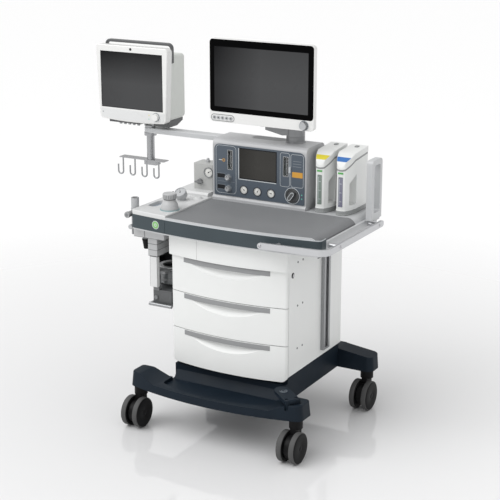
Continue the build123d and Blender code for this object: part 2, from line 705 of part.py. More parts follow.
def monitor_housing():
    """White chassis with its chin, rear bulge and tilt knuckle."""
    x_low, x_high = SCREEN_X
    z_low, z_high = SCREEN_Z
    chassis = block(SCREEN_X, (SCREEN_FRONT, SCREEN_FRONT + SCREEN_DEPTH), SCREEN_Z)
    chassis = fillet(chassis.edges().filter_by(Axis.Y), 16)
    chassis = fillet(chassis.faces().sort_by(Axis.Y)[-1].edges(), 6)
    recess = block((x_low + 1.5, x_high - 1.5), (SCREEN_FRONT - 1, SCREEN_FRONT + 3), (1252, z_high - 2))
    inside = block((x_low + 10, x_high - 10), (SCREEN_FRONT + 2, SCREEN_FRONT + 22), (1262, z_high - 12))
    bulge = block((x_low + 70, x_high - 70), (SCREEN_FRONT + 22, SCREEN_FRONT + 38), (1250, 1480))
    tx, ty, tz = TILT_AXIS
    knuckle = block((tx - 15.5, tx + 15.5), (SCREEN_FRONT + 30, ty + 10), (tz - 13, tz + 13))
    chassis = chassis - fillet(recess.edges().filter_by(Axis.Y), 14) - inside + bulge + knuckle
    chassis -= rod((tx - 30, ty, tz), (tx + 30, ty, tz), TILT_PIN_R + PIVOT_FIT)
    x, z = MONITOR_KNOB
    return chassis - rod((x, 95, z), (x, 110, z), KNOB_SPINDLE_R + PIVOT_FIT)


def monitor_glass():
    """Black glass face of the main monitor."""
    x_low, x_high = SCREEN_X
    depth = (SCREEN_FRONT - 0.5, SCREEN_FRONT + 2.8)
    glass = block((x_low + 1.7, x_high - 1.7), depth, (1252.2, SCREEN_Z[1] - 2.2))
    return fillet(glass.edges().filter_by(Axis.Y), 14)


def turn_knob(x, z, front, radius, depth):
    """Rotary encoder knob on a short spindle, facing the front."""
    body = rod((x, front - 0.5, z), (x, front - depth, z), radius, radius - 1.5)
    return body + rod((x, front - 1, z), (x, front + 9, z), KNOB_SPINDLE_R)


def boom_mast():
    """Mast at the worktop's left rear that carries the arm."""
    x, y = MAST
    foot = rod((x, y, 904), (x, y, 912), 22)
    tube = rod((x, y, 904), (x, y, ARM_LOW - 0.5), MAST_R)
    return foot + tube + rod((x, y, ARM_LOW - 4), (x, y, ARM_LOW + 16), 10)


def boom_arm():
    """Flat beam that swings about the mast, with the hanger's bearing at its end."""
    middle = (MAST[0] + HANGER[0]) / 2
    beam = Pos(middle, MAST[1], ARM_LOW) * extrude(
        SlotCenterToCenter(MAST[0] - HANGER[0], ARM_WIDTH), ARM_HIGH - ARM_LOW
    )
    beam = fillet(beam.faces().sort_by(Axis.Z)[-1].edges(), 5)
    beam -= rod((*MAST, ARM_LOW - 1), (*MAST, ARM_LOW + 17), 10 + PIVOT_FIT)
    return beam - rod((*HANGER, ARM_LOW - 1), (*HANGER, ARM_HIGH + 1), 9 + PIVOT_FIT)


def boom_hanger():
    """Swivel head above the beam, and the post, hook plate and four hooks below it."""
    x, y = HANGER
    post = rod((x, y, 974), (x, y, ARM_LOW - 0.5), HANGER_R)
    collar = rod((x, y, ARM_LOW - 14), (x, y, ARM_LOW - 0.5), 27)
    spindle = rod((x, y, ARM_LOW - 2), (x, y, ARM_HIGH + 2), 9)
    head = rod((x, y, ARM_HIGH + 0.5), (x, y, ARM_HIGH + 9), 24)
    ear = block((x + 16, x + 24), (y - 12, y + 12), (ARM_HIGH + 5, 1150))
    ears = [ear, Pos(-40, 0, 0) * ear]
    pin = rod((x - 20, y, PATIENT_TILT[2]), (x + 20, y, PATIENT_TILT[2]), PATIENT_PIN_R)
    plate = block((x - 153, x + 78), (y - 20, y + 20), (972, 976))
    clamp = block((x - 24, x + 38), (y - 18, y + 18), (954, 972))
    hanger = post + collar + spindle + head + ears[0] + ears[1] + pin + plate + clamp
    for step in range(4):
        hanger += hook(x - 149 + step * HOOK_PITCH, y - 16)
    return hanger


def hook(x, y):
    """J-shaped hook of 7 mm wire that hangs from the plate."""
    top = 973
    line = Line((x + 13, top), (x + 13, 911))
    bend = ThreePointArc((x + 13, 911), (x, 898), (x - 13, 911))
    tip = Line((x - 13, 911), (x - 13, 940))
    path = Plane.XZ.offset(-y) * (line + bend + tip)
    start = Plane(origin=(x + 13, y, top), z_dir=(0, 0, -1))
    return sweep(start * Circle(3.5), path)


def patient_housing():
    """Rear housing of the patient monitor, its dark foot and tilt knuckle."""
    low, high = PATIENT_SHELL_X
    front, back = PATIENT_FRONT + 36, PATIENT_BACK
    shell = block((low, high), (front, back), (1160, 1436))
    shell = fillet(shell.edges().filter_by(Axis.X).sort_by(Axis.Y)[-2:], 18)
    shell = fillet(shell.edges().filter_by(Axis.Z).sort_by(Axis.Y)[-2:], 12)
    shell -= block((low + 5, high - 5), (front - 1, back - 6), (1166, 1430))
    x, y, z = PATIENT_TILT
    side = [(front, 1130), (front + 64, 1130), (back - 14, 1147), (back - 14, 1161), (front, 1161)]
    foot = along_x(side, low + 8, high - 8)
    foot -= block((x - 33, x + 33), (front - 1, back), (1130, 1153))
    knuckle = block((x - 15.5, x + 15.5), (y - 10, y + 10), (z - 9, 1161))
    return shell + foot + knuckle - rod((x - 30, y, z), (x + 30, y, z), PATIENT_PIN_R + PIVOT_FIT)


def patient_front():
    """White bezel that narrows to its chin, with a recess for the screen."""
    x_low, x_high = PATIENT_X
    low, high = PATIENT_Z
    outline = Polyline((x_low + 14, low + 6), (x_low, high), (x_high, high), (x_high - 14, low + 6))
    chin = ThreePointArc((x_high - 14, low + 6), ((x_low + x_high) / 2, low - 2), (x_low + 14, low + 6))
    face = fillet(make_face(Plane.XZ * (outline + chin)).vertices(), 18)
    bezel = Pos(0, PATIENT_FRONT, 0) * extrude(face, 36, dir=(0, 1, 0))
    bezel = chamfer(bezel.faces().sort_by(Axis.Y)[0].edges(), 3)
    bezel -= block((-852, -536), (PATIENT_FRONT - 1, PATIENT_FRONT + 15), (1200, 1443))
    bezel -= block((-846, -532), (PATIENT_FRONT + 14, PATIENT_FRONT + 40), (1180, 1452))
    x, z = PATIENT_KNOB
    return bezel - rod((x, 195, z), (x, 215, z), KNOB_SPINDLE_R + PIVOT_FIT)


def patient_screen():
    """Dark screen of the patient monitor, set back in its bezel."""
    return block((-851.7, -536.3), (PATIENT_FRONT + 3, PATIENT_FRONT + 13.7), (1200.3, 1442.7))


def patient_handle():
    """Grey carrying bail over the patient monitor's top."""
    low, high = PATIENT_SHELL_X
    outer = block((low - 9, high + 9), (PATIENT_FRONT + 40, PATIENT_FRONT + 60), (1404, 1489))
    outer = fillet(outer.edges().filter_by(Axis.Y).sort_by(Axis.Z)[-2:], 24)
    inner = block((low - 0.3, high + 0.3), (100, 400), (1390, 1477))
    inner = fillet(inner.edges().filter_by(Axis.Y).sort_by(Axis.Z)[-2:], 14)
    return outer - inner


def vaporizer_plan(x, grow=0):
    """Plan outline of a vaporizer: straight sides that draw in to a rounded nose."""
    front, back = VAPORIZER_Y
    half, nose = VAPORIZER_WIDTH / 2, 18
    right = ThreePointArc((x + half, front + 80), (x + half - 6, front + 34), (x + nose, front + 5))
    tip = ThreePointArc((x + nose, front + 5), (x, front), (x - nose, front + 5))
    left = ThreePointArc((x - nose, front + 5), (x - half + 6, front + 34), (x - half, front + 80))
    rest = Polyline((x - half, front + 80), (x - half, back), (x + half, back), (x + half, front + 80))
    face = make_face(right + tip + left + rest)
    return offset(face, grow, kind=Kind.INTERSECTION) if grow else face


def vaporizer_body(x):
    """Bullet-shaped body with a carrying cut-out, under a sloping shoulder, on a stepped foot."""
    low, high = x - VAPORIZER_WIDTH / 2 - 2, x + VAPORIZER_WIDTH / 2 + 2
    front, back = VAPORIZER_Y
    side = [(front - 3, 880), *SHOULDER, (back + 3, 880)]
    body = Pos(0, 0, 884.5) * extrude(vaporizer_plan(x), 240, dir=(0, 0, 1))
    body = body & along_x(side, low, high)
    body += Pos(0, 0, 884.5) * extrude(vaporizer_plan(x, 1.5), 16, dir=(0, 0, 1))
    cut = [(front + 26, 918), (front + 26, 1008), (front + 72, 1040), (front + 72, 918)]
    body -= along_x(cut, low - 1, high + 1)
    return body - block((x - 10, x + 10), (front - 1, front + 3), (914, 1036))


def vaporizer_cap(x):
    """White cap that follows the sloping shoulder."""
    low, high = x - VAPORIZER_WIDTH / 2 - 3, x + VAPORIZER_WIDTH / 2 + 3
    front, back = VAPORIZER_Y
    rise = [(front - 3, 1074), (front + 6, 1096), (front + 58, 1124), (back + 3, 1134)]
    side = [*rise, *reversed(SHOULDER)]
    cap = Pos(0, 0, 1000) * extrude(vaporizer_plan(x, 1), 200, dir=(0, 0, 1))
    return cap & along_x(side, low, high)


def vaporizer_seats():
    """Grey stepped seats and the gas manifold behind the two vaporizers."""
    seats = []
    front, back = VAPORIZER_Y
    for x in VAPORIZER_X.values():
        seats.append(Pos(0, 0, TOP_LEVEL) * extrude(vaporizer_plan(x, 2), 4, dir=(0, 0, 1)))
    manifold = block((212, 372), (back + 3.5, back + 22), (840, 1010))
    manifold += block((212, 372), (TOP_BACK, back + 4), (840, 878))
    return Compound(children=[*seats, manifold])


def suction_unit():
    """Suction regulator box on the deck's rear step."""
    box = block((-357, -258), (150, 230), (904, 1013))
    box = fillet(box.edges().filter_by(Axis.Z), 8)
    x, z = SUCTION_GAUGE
    box -= rod((x, 140, z), (x, 165, z), 20)
    x, z = SUCTION_KNOB
    return box - rod((x, 140, z), (x, 170, z), KNOB_SPINDLE_R + PIVOT_FIT)


def breathing_block():
    """Manifold under the deck with its column, ports and the absorber's frame."""
    manifold = block((-436, -292), (-184, 120), (765, TOP_UNDER))
    stack = block((-378, -335), (-170, -60), (688, 766))
    column = block((-372, -337), (-168, -150), (558, 689))
    base = block((-370, -283), (-150, 12), (472, 541))
    base -= rod((*CANISTER, 512), (*CANISTER, 542), GUIDE_R + PIVOT_FIT)
    collar = Pos(*CANISTER, 612) * (Cylinder(62, 12, align=(Align.CENTER, Align.CENTER, Align.MIN)))
    collar -= rod((*CANISTER, 600), (*CANISTER, 640), 44)
    bridge = block((-366, -312), (-152, -92), (612, 624))
    neck = rod((-398, -150, 766), (-398, -150, 752), 15)
    cone = rod((-398, -150, 754), (-398, -150, 712), 17, 11)
    x, y = PORT
    port = rod((x, y, 770), (x, y, 922), 16)
    port += rod((x, y, 862), (x, y - 62, 862), 11)
    port -= rod((x, y, 880), (x, y, 930), 11)
    foot = block((-368, -341), (-152, -132), (538, 604))
    piece = manifold + stack + column + base + collar + bridge + neck + cone + foot + port
    return piece - rod((-410, *LEVER_AXIS[1:]), (-265, *LEVER_AXIS[1:]), LEVER_PIN_R + PIVOT_FIT)


def absorber_canister():
    """Absorbent canister that seals up against the collar."""
    x, y = CANISTER
    wall = rod((x, y, 556), (x, y, 611.7), CANISTER_R) + rod((x, y, 524), (x, y, 557), GUIDE_R)
    return wall - rod((x, y, 562), (x, y, 613), CANISTER_R - 5)


def absorber_lever():
    """U-shaped release lever that swings below the absorber."""
    x, y, z = LEVER_AXIS
    front = y - LEVER_REACH
    arm = [(y, z + 5), (y, z - 5), (front, z - 8), (front, z)]
    left = along_x(arm, x - 45.5, x - 37)
    right = along_x(arm, x + 52, x + 60)
    bar = rod((x - 45.5, front, z - 4), (x + 62, front, z - 4), 7)
    return bar + left + right + rod((x - 45.5, y, z), (x + 62, y, z), LEVER_PIN_R)


def add(name, shape):
    parts[name] = shape


def build():
    add("base_chassis", base_chassis())
    for name, x, y in casters():
        add(f"caster_housing_{name}", caster_housing(x, y))
        add(f"caster_wheels_{name}", caster_wheels(x, y))
    add("brake_pedal", brake_pedal())
    add("cabinet_covers", cabinet_covers())
    add("cabinet_frame", cabinet_frame())
    add("front_apron", front_apron())
    for name, (low, high) in DRAWERS.items():
        add(f"drawer_{name}", drawer(low, high))
        add(f"drawer_grip_{name}", drawer_grip(high))
    add("drawer_lock", drawer_lock())
    add("side_channel", side_channel())
    add("cover_screws", cover_screws())
    add("worktop_tray", worktop_tray())
    add("front_band", front_band())
    add("worktop_mat", worktop_mat())
    add("left_deck", left_deck())
    add("apl_valve", apl_valve())
    add("side_rail", side_rail())
    add("guard_handle", guard_handle())
    add("unit_housing", unit_housing())
    add("unit_panel", unit_panel())
    add("unit_display", unit_display())
    add("flow_tubes", flow_tubes())
    add("gauge_set", gauge_set())
    for name, place in FLOW_KNOBS.items():
        add(f"flow_knob_{name}", flow_knob(*place))
    add("system_switch", system_switch())
    add("monitor_column", monitor_column())
    add("monitor_arm", monitor_arm())
    add("monitor_housing", monitor_housing())
    add("monitor_glass", monitor_glass())
    add("monitor_knob", turn_knob(*MONITOR_KNOB, SCREEN_FRONT, 17, 14))
    add("boom_mast", boom_mast())
    add("boom_arm", boom_arm())
    add("boom_hanger", boom_hanger())
    add("patient_housing", patient_housing())
    add("patient_front", patient_front())
    add("patient_screen", patient_screen())
    add("patient_handle", patient_handle())
    add("patient_knob", turn_knob(*PATIENT_KNOB, PATIENT_FRONT, 16, 14))
    for name, x in VAPORIZER_X.items():
        add(f"vaporizer_body_{name}", vaporizer_body(x))
        add(f"vaporizer_cap_{name}", vaporizer_cap(x))
    add("vaporizer_seats", vaporizer_seats())
    add("suction_unit", suction_unit())
    add("suction_knob", turn_knob(*SUCTION_KNOB, 150, 12, 14))
    add("breathing_block", breathing_block())
    add("absorber_canister", absorber_canister())
    add("absorber_lever", absorber_lever())


def to_origin():
    """Move that puts the origin at the bottom centre of the whole machine's box."""
    boxes = [shape.bounding_box() for shape in parts.values()]
    low_x, high_x = min(box.min.X for box in boxes), max(box.max.X for box in boxes)
    low_y, high_y = min(box.min.Y for box in boxes), max(box.max.Y for box in boxes)
    return Vector(-(low_x + high_x) / 2, -(low_y + high_y) / 2, -min(box.min.Z for box in boxes))


def main():
    build()
    shift = to_origin()
    os.makedirs("parts", exist_ok=True)
    for name, shape in parts.items():
        export_step(Pos(shift) * shape, f"parts/{name}.step")
    print("shift", shift)


if __name__ == "__main__":
    main()
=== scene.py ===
from math import atan2, cos, pi, radians, sin

import bmesh
import bpy
from mathutils import Matrix, Vector


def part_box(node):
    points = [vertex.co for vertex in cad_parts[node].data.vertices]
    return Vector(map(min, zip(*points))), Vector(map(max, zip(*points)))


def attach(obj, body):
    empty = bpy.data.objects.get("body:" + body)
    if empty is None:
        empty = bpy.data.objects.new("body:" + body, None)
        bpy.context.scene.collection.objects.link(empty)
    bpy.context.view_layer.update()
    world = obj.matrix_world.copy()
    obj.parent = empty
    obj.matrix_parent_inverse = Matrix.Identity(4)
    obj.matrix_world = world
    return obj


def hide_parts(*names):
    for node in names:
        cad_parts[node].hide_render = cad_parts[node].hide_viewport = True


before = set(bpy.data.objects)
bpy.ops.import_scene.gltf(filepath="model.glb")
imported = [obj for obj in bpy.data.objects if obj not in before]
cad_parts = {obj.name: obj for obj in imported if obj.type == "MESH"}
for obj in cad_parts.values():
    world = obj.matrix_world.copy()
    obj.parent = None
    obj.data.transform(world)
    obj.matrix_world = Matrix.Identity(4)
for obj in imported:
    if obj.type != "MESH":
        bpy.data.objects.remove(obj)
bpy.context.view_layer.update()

scene = bpy.context.scene
MM = 0.001

# The machine's own axes: X from the cabinet's middle, Y from the caster rows' middle, Z from the floor, in mm
PANEL_FACE_Y = 119.0
FRAME_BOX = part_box("cabinet_frame")
PANEL_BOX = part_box("unit_panel")
ORIGIN = Vector(((FRAME_BOX[0].x + FRAME_BOX[1].x) / 2, PANEL_BOX[0].y - PANEL_FACE_Y * MM, 0))
X, Y, Z = Vector((1, 0, 0)), Vector((0, 1, 0)), Vector((0, 0, 1))


def at(x, y, z):
    """Point of the machine in millimetres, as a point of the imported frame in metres."""
    return ORIGIN + Vector((x, y, z)) * MM


def span(node):
    """A CAD node's lowest and highest corner, in the machine's millimetres."""
    low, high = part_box(node)
    return (low - ORIGIN) / MM, (high - ORIGIN) / MM


# Materials


def noise(tree, scale, detail, coordinates):
    """Noise texture's value."""
    node = tree.nodes.new("ShaderNodeTexNoise")
    node.inputs["Scale"].default_value = scale
    node.inputs["Detail"].default_value = detail
    tree.links.new(coordinates, node.inputs["Vector"])
    return node.outputs["Fac"]


def remap(tree, value, low, high, start=0.3, end=0.7):
    """Value between start and end, stretched to run from low to high."""
    node = tree.nodes.new("ShaderNodeMapRange")
    node.inputs["From Min"].default_value = start
    node.inputs["From Max"].default_value = end
    node.inputs["To Min"].default_value = low
    node.inputs["To Max"].default_value = high
    tree.links.new(value, node.inputs["Value"])
    return node.outputs["Result"]


def tinted(tree, value, dark, light):
    """Colour between two, by a value."""
    node = tree.nodes.new("ShaderNodeMix")
    node.data_type = "RGBA"
    node.inputs["A"].default_value = (*dark, 1)
    node.inputs["B"].default_value = (*light, 1)
    tree.links.new(value, node.inputs["Factor"])
    return node.outputs["Result"]


def finish_of(name, color, rough, metallic=0.0, grain=700, depth=0.00006, stretch=(1, 1, 1), mottle=0.03,
              coat=0.0, ior=1.5, patch=9, clear=0.0, glow=0.0, gleam=0.5):
    """Procedural finish: fine grain in the bump, and slow drift in colour and roughness.

    stretch draws the grain out along an axis, patch is the drift's scale, clear is the share of light let
    through, and gleam is the specular level.
    """
    made = bpy.data.materials.new(name)
    made.use_nodes = True
    tree = made.node_tree
    shader = tree.nodes["Principled BSDF"]
    place = tree.nodes.new("ShaderNodeTexCoord").outputs["Object"]
    if stretch != (1, 1, 1):
        mapping = tree.nodes.new("ShaderNodeMapping")
        mapping.inputs["Scale"].default_value = stretch
        tree.links.new(place, mapping.inputs["Vector"])
        place_fine = mapping.outputs["Vector"]
    else:
        place_fine = place
    drift = noise(tree, patch, 3, place)
    fine = noise(tree, grain, 4, place_fine)
    dark = [c * (1 - mottle) for c in color]
    light = [min(1, c * (1 + mottle)) for c in color]
    tree.links.new(tinted(tree, remap(tree, drift, 0, 1), dark, light), shader.inputs["Base Color"])
    tree.links.new(remap(tree, drift, max(0.02, rough - 0.05), min(1, rough + 0.05)),
                   shader.inputs["Roughness"])
    bump = tree.nodes.new("ShaderNodeBump")
    bump.inputs["Strength"].default_value = 0.6
    bump.inputs["Distance"].default_value = depth
    tree.links.new(fine, bump.inputs["Height"])
    tree.links.new(bump.outputs["Normal"], shader.inputs["Normal"])
    shader.inputs["Metallic"].default_value = metallic
    shader.inputs["Coat Weight"].default_value = coat
    shader.inputs["IOR"].default_value = ior
    shader.inputs["Transmission Weight"].default_value = clear
    shader.inputs["Specular IOR Level"].default_value = gleam
    if glow:
        shader.inputs["Emission Color"].default_value = (*color, 1)
        shader.inputs["Emission Strength"].default_value = glow
    return made


def screen_with_painted_reflection(name, low, high, dark, light, sideways=0.75):
    """Switched-off display: a soft painted reflection in its colour, lightening away from its left and from
    its top.
    """
    made = finish_of(name, dark, 0.3, grain=300, depth=0.00001, gleam=0.05)
    tree = made.node_tree
    shader = tree.nodes["Principled BSDF"]
    place = tree.nodes.new("ShaderNodeTexCoord").outputs["Object"]
    parts = tree.nodes.new("ShaderNodeSeparateXYZ")
    tree.links.new(place, parts.inputs["Vector"])
    across = remap(tree, parts.outputs["X"], 0, sideways, low.x, low.x + (high.x - low.x) * 0.5)
    up = remap(tree, parts.outputs["Z"], 1 - sideways, 0, low.z + (high.z - low.z) * 0.45, high.z)
    total = tree.nodes.new("ShaderNodeMath")
    tree.links.new(across, total.inputs[0])
    tree.links.new(up, total.inputs[1])
    tree.links.new(tinted(tree, total.outputs["Value"], dark, light), shader.inputs["Base Color"])
    return made


LOOKS = {
    "navy": finish_of("base_navy", (0.009, 0.0155, 0.024), 0.5, grain=520, depth=0.00010, mottle=0.10,
                      gleam=0.14),
    "black": finish_of("caster_black", (0.0065, 0.0065, 0.007), 0.5, grain=600, depth=0.00008, gleam=0.15),
    "tyre": finish_of("tyre_grey", (0.085, 0.085, 0.085), 0.62, grain=420, depth=0.00012, mottle=0.08,
                      gleam=0.25),
    "white": finish_of("cabinet_white", (0.80, 0.81, 0.80), 0.36, grain=900, depth=0.00003, mottle=0.012),
    "cover": finish_of("cover_grey", (0.66, 0.68, 0.65), 0.42, grain=650, depth=0.00005, mottle=0.015),
    "steel": finish_of("frame_steel", (0.55, 0.56, 0.57), 0.40, 1.0, grain=260, stretch=(1, 1, 9),
                       mottle=0.06),
    "grip": finish_of("grip_grey", (0.28, 0.285, 0.29), 0.45, grain=800, depth=0.00006, mottle=0.03),
    "aluminium": finish_of("aluminium", (0.34, 0.345, 0.355), 0.38, 0.75, grain=240, stretch=(9, 9, 1),
                           mottle=0.04),
    "rail": finish_of("rail_aluminium", (0.56, 0.565, 0.58), 0.33, 0.7, grain=240, stretch=(1, 1, 9),
                      mottle=0.03),
    "screw": finish_of("screw_steel", (0.50, 0.50, 0.52), 0.22, 1.0, grain=900, mottle=0.05),
    "tray": finish_of("tray_light", (0.52, 0.53, 0.54), 0.34, grain=800, depth=0.00003, mottle=0.012),
    "band": finish_of("band_dark", (0.052, 0.068, 0.077), 0.45, grain=700, depth=0.00005, mottle=0.05,
                      gleam=0.25),
    # Deck: the cabinet's white darkened, as painted shade
    "deck": finish_of("deck_white_shaded", (0.64, 0.645, 0.645), 0.36, grain=900, depth=0.00003, mottle=0.012),
    "recess": finish_of("recess_blue", (0.30, 0.34, 0.38), 0.45, grain=700, depth=0.00004),
    # Screens: painted reflection, lighter away from their left and top
    "lcd": screen_with_painted_reflection("lcd_panel", at(-118, 119, 980), at(56, 119, 1107), (0.030, 0.029, 0.027),
                       (0.060, 0.058, 0.054)),
    "main_screen": screen_with_painted_reflection("main_screen", at(-220, 100, 1274), at(204, 100, 1516),
                               (0.008, 0.008, 0.009), (0.072, 0.073, 0.075)),
    "side_screen": screen_with_painted_reflection("side_screen", at(-850, 203, 1204), at(-540, 203, 1440),
                               (0.012, 0.012, 0.013), (0.070, 0.071, 0.073), 0.15),
    "chin": finish_of("chin_grey", (0.71, 0.715, 0.715), 0.30, grain=900, depth=0.00002, mottle=0.01),
    "valve": finish_of("valve_grey", (0.50, 0.505, 0.51), 0.34, grain=700, depth=0.00004, mottle=0.02),
    "hook": finish_of("hook_metal", (0.36, 0.365, 0.375), 0.24, 0.85, grain=420, stretch=(1, 1, 5),
                      mottle=0.05),
    "foot": finish_of("foot_grey", (0.10, 0.103, 0.106), 0.45, grain=600, depth=0.00006, mottle=0.05),
    "neck": finish_of("neck_grey", (0.20, 0.205, 0.21), 0.45, grain=600, depth=0.00006, mottle=0.04),
    "block": finish_of("block_light", (0.50, 0.505, 0.51), 0.40, 0.25, grain=520, depth=0.00008,
                       mottle=0.04),
    "mat": finish_of("mat_grey", (0.20, 0.205, 0.212), 0.62, grain=950, depth=0.00020, mottle=0.035),
    "housing": finish_of("unit_light", (0.47, 0.475, 0.485), 0.38, grain=800, depth=0.00004, mottle=0.012),
    "panel": finish_of("panel_blue", (0.077, 0.098, 0.125), 0.42, grain=600, depth=0.00003, mottle=0.03),
    "window": finish_of("window_dark", (0.008, 0.009, 0.012), 0.2, grain=500, depth=0.00001, gleam=0.25),
    "line": finish_of("print_light", (0.55, 0.58, 0.60), 0.45, grain=600, depth=0.00001),
    "line_dim": finish_of("print_dim", (0.22, 0.25, 0.28), 0.45, grain=600, depth=0.00001),
    "dial": finish_of("dial_white", (0.78, 0.78, 0.75), 0.40, grain=500, depth=0.00001),
    "knob": finish_of("knob_grey", (0.46, 0.47, 0.48), 0.34, 0.35, grain=700, depth=0.00004),
    "gloss_black": finish_of("gloss_black", (0.006, 0.006, 0.007), 0.12, grain=400, depth=0.00001,
                             coat=0.5),
    "bezel": finish_of("monitor_bezel", (0.002, 0.002, 0.0022), 0.3, grain=300, depth=0.00001, gleam=0.02),
    "monitor": finish_of("monitor_white", (0.79, 0.79, 0.78), 0.24, grain=900, depth=0.00002, mottle=0.01,
                         coat=0.25),
    "metal_grey": finish_of("metal_grey", (0.25, 0.255, 0.262), 0.34, 0.55, grain=420, stretch=(1, 1, 6),
                            mottle=0.05),
    "seat": finish_of("seat_grey", (0.30, 0.31, 0.31), 0.48, grain=700, depth=0.00006, mottle=0.04),
    "suction": finish_of("suction_grey", (0.46, 0.465, 0.455), 0.45, grain=700, depth=0.00005, mottle=0.03),
    "cast": finish_of("breathing_grey", (0.38, 0.385, 0.39), 0.42, 0.55, grain=520, depth=0.00012,
                      mottle=0.06),
    "canister": finish_of("canister_smoke", (0.30, 0.32, 0.33), 0.16, grain=500, depth=0.00002, clear=0.55),
    "granules": finish_of("granules", (0.62, 0.60, 0.55), 0.85, grain=320, depth=0.0009, mottle=0.10,
                          patch=260),
    "handle": finish_of("handle_grey", (0.10, 0.103, 0.106), 0.42, grain=700, depth=0.00006, mottle=0.04),
    "yellow": finish_of("strip_yellow", (0.70, 0.60, 0.03), 0.35, grain=600, depth=0.00002),
    "blue": finish_of("strip_blue", (0.03, 0.15, 0.45), 0.35, grain=600, depth=0.00002),
    "green": finish_of("mark_green", (0.10, 0.40, 0.10), 0.40, grain=600, depth=0.00002),
    "lamp_green": finish_of("lamp_green", (0.22, 0.48, 0.16), 0.35, grain=600, depth=0.00002),
    "green_led": finish_of("led_green", (0.12, 0.46, 0.36), 0.30, grain=600, depth=0.00001, glow=0.25),
    "amber_led": finish_of("led_amber", (0.62, 0.54, 0.16), 0.30, grain=600, depth=0.00001, glow=0.2),
    "orange": finish_of("print_amber", (0.66, 0.33, 0.045), 0.42, grain=600, depth=0.00001),
    "teal": finish_of("valve_teal", (0.22, 0.36, 0.37), 0.34, grain=600, depth=0.00004),
    "agent_green": finish_of("agent_green", (0.20, 0.25, 0.22), 0.15, grain=400, depth=0.00001, coat=0.4),
    "agent_violet": finish_of("agent_violet", (0.20, 0.20, 0.27), 0.15, grain=400, depth=0.00001, coat=0.4),
    "clear": finish_of("clear_tube", (0.85, 0.9, 0.9), 0.05, grain=400, depth=0.00001, clear=0.9, ior=1.45),
    # Near-black: painted shade in cavities, gaps and wells, also dark seams and vent slots
    "inside": finish_of("inside_dark", (0.008, 0.008, 0.009), 0.6, grain=500, depth=0.00005, gleam=0.1),
}


# Mesh making

SHARP = radians(32)


def new_piece(name, mesh, look, body, bevel=0.0, smooth=True):
    """Put a mesh in the scene with its look, its softened edges and the body that it rides on."""
    piece = bpy.data.objects.new(name, mesh)
    scene.collection.objects.link(piece)
    mesh.materials.append(LOOKS[look])
    for polygon in mesh.polygons:
        polygon.use_smooth = smooth
    if bevel:
        round_edges(piece, bevel)
    elif smooth:
        mesh.set_sharp_from_angle(angle=SHARP)
    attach(piece, body)
    return piece


def round_edges(piece, width):
    """Round a piece's sharp edges to a width in mm, and shade its flats flat."""
    edge = piece.modifiers.new("edges", "BEVEL")
    edge.width = width * MM
    edge.segments = 3
    edge.limit_method = "ANGLE"
    edge.angle_limit = SHARP
    edge.miter_outer = "MITER_ARC"
    shade = piece.modifiers.new("shading", "WEIGHTED_NORMAL")
    shade.weight = 60
    shade.keep_sharp = False


def mesh_of(name, points, faces, place=None):
    """Mesh from points in metres, moved by a matrix if one is given."""
    made = bmesh.new()
    corners = [made.verts.new(place @ p if place else p) for p in points]
    for face in faces:
        made.faces.new([corners[i] for i in face])
    bmesh.ops.recalc_face_normals(made, faces=made.faces)
    mesh = bpy.data.meshes.new(name)
    made.to_mesh(mesh)
    made.free()
    return mesh


def rounded(low, high, radius=0.0, steps=6):
    """Outline of a rectangle with rounded corners, counter-clockwise, in mm."""
    (a, b), (c, d) = low, high
    if radius <= 0:
        return [(a, b), (c, b), (c, d), (a, d)]
    points = []
    for u, v, start in ((c - radius, b + radius, -90), (c - radius, d - radius, 0),
                        (a + radius, d - radius, 90), (a + radius, b + radius, 180)):
        for step in range(steps + 1):
            turn = radians(start + 90 * step / steps)
            points.append((u + radius * cos(turn), v + radius * sin(turn)))
    return points


def circle(centre, radius, steps=40):
    """Outline of a circle, in mm."""
    return [(centre[0] + radius * cos(2 * pi * i / steps), centre[1] + radius * sin(2 * pi * i / steps))
            for i in range(steps)]


def to_space(plane, u, v, w):
    """Point of a plane's own two axes and its depth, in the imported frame."""
    if plane == "XZ":
        return at(u, w, v)
    if plane == "YZ":
        return at(w, u, v)
    return at(u, v, w)


def prism(name, outline, low, high, look, body, plane="XZ", bevel=0.0):
    """Flat outline given thickness across its plane."""
    n = len(outline)
    points = [to_space(plane, u, v, w) for w in (low, high) for u, v in outline]
    faces = [list(range(n)), list(range(n, 2 * n))]
    faces += [[i, (i + 1) % n, n + (i + 1) % n, n + i] for i in range(n)]
    return new_piece(name, mesh_of(name, points, faces), look, body, bevel)


def ring(name, outer, inner, low, high, look, body, plane="XZ", place=None, bevel=0.0):
    """Band between two outlines that have the same number of points."""
    n = len(outer)
    points = [to_space(plane, u, v, w) for w in (low, high) for line in (outer, inner) for u, v in line]
    faces = []
    for i in range(n):
        j = (i + 1) % n
        faces += [[i, j, n + j, n + i], [2 * n + i, 2 * n + j, 3 * n + j, 3 * n + i],
                  [i, j, 2 * n + j, 2 * n + i], [n + i, n + j, 3 * n + j, 3 * n + i]]
    return new_piece(name, mesh_of(name, points, faces, place), look, body, bevel)


def print_frame(name, low, high, radius):
    """Printed outline of a group of controls on the panel."""
    width = 1.4
    outer = rounded(low, high, radius)
    inner = rounded((low[0] + width, low[1] + width), (high[0] - width, high[1] - width),
                    max(radius - width, 0.1))
    return ring(name, outer, inner, PANEL_FACE_Y - 0.35, PANEL_FACE_Y + 0.1, "line", "frame")


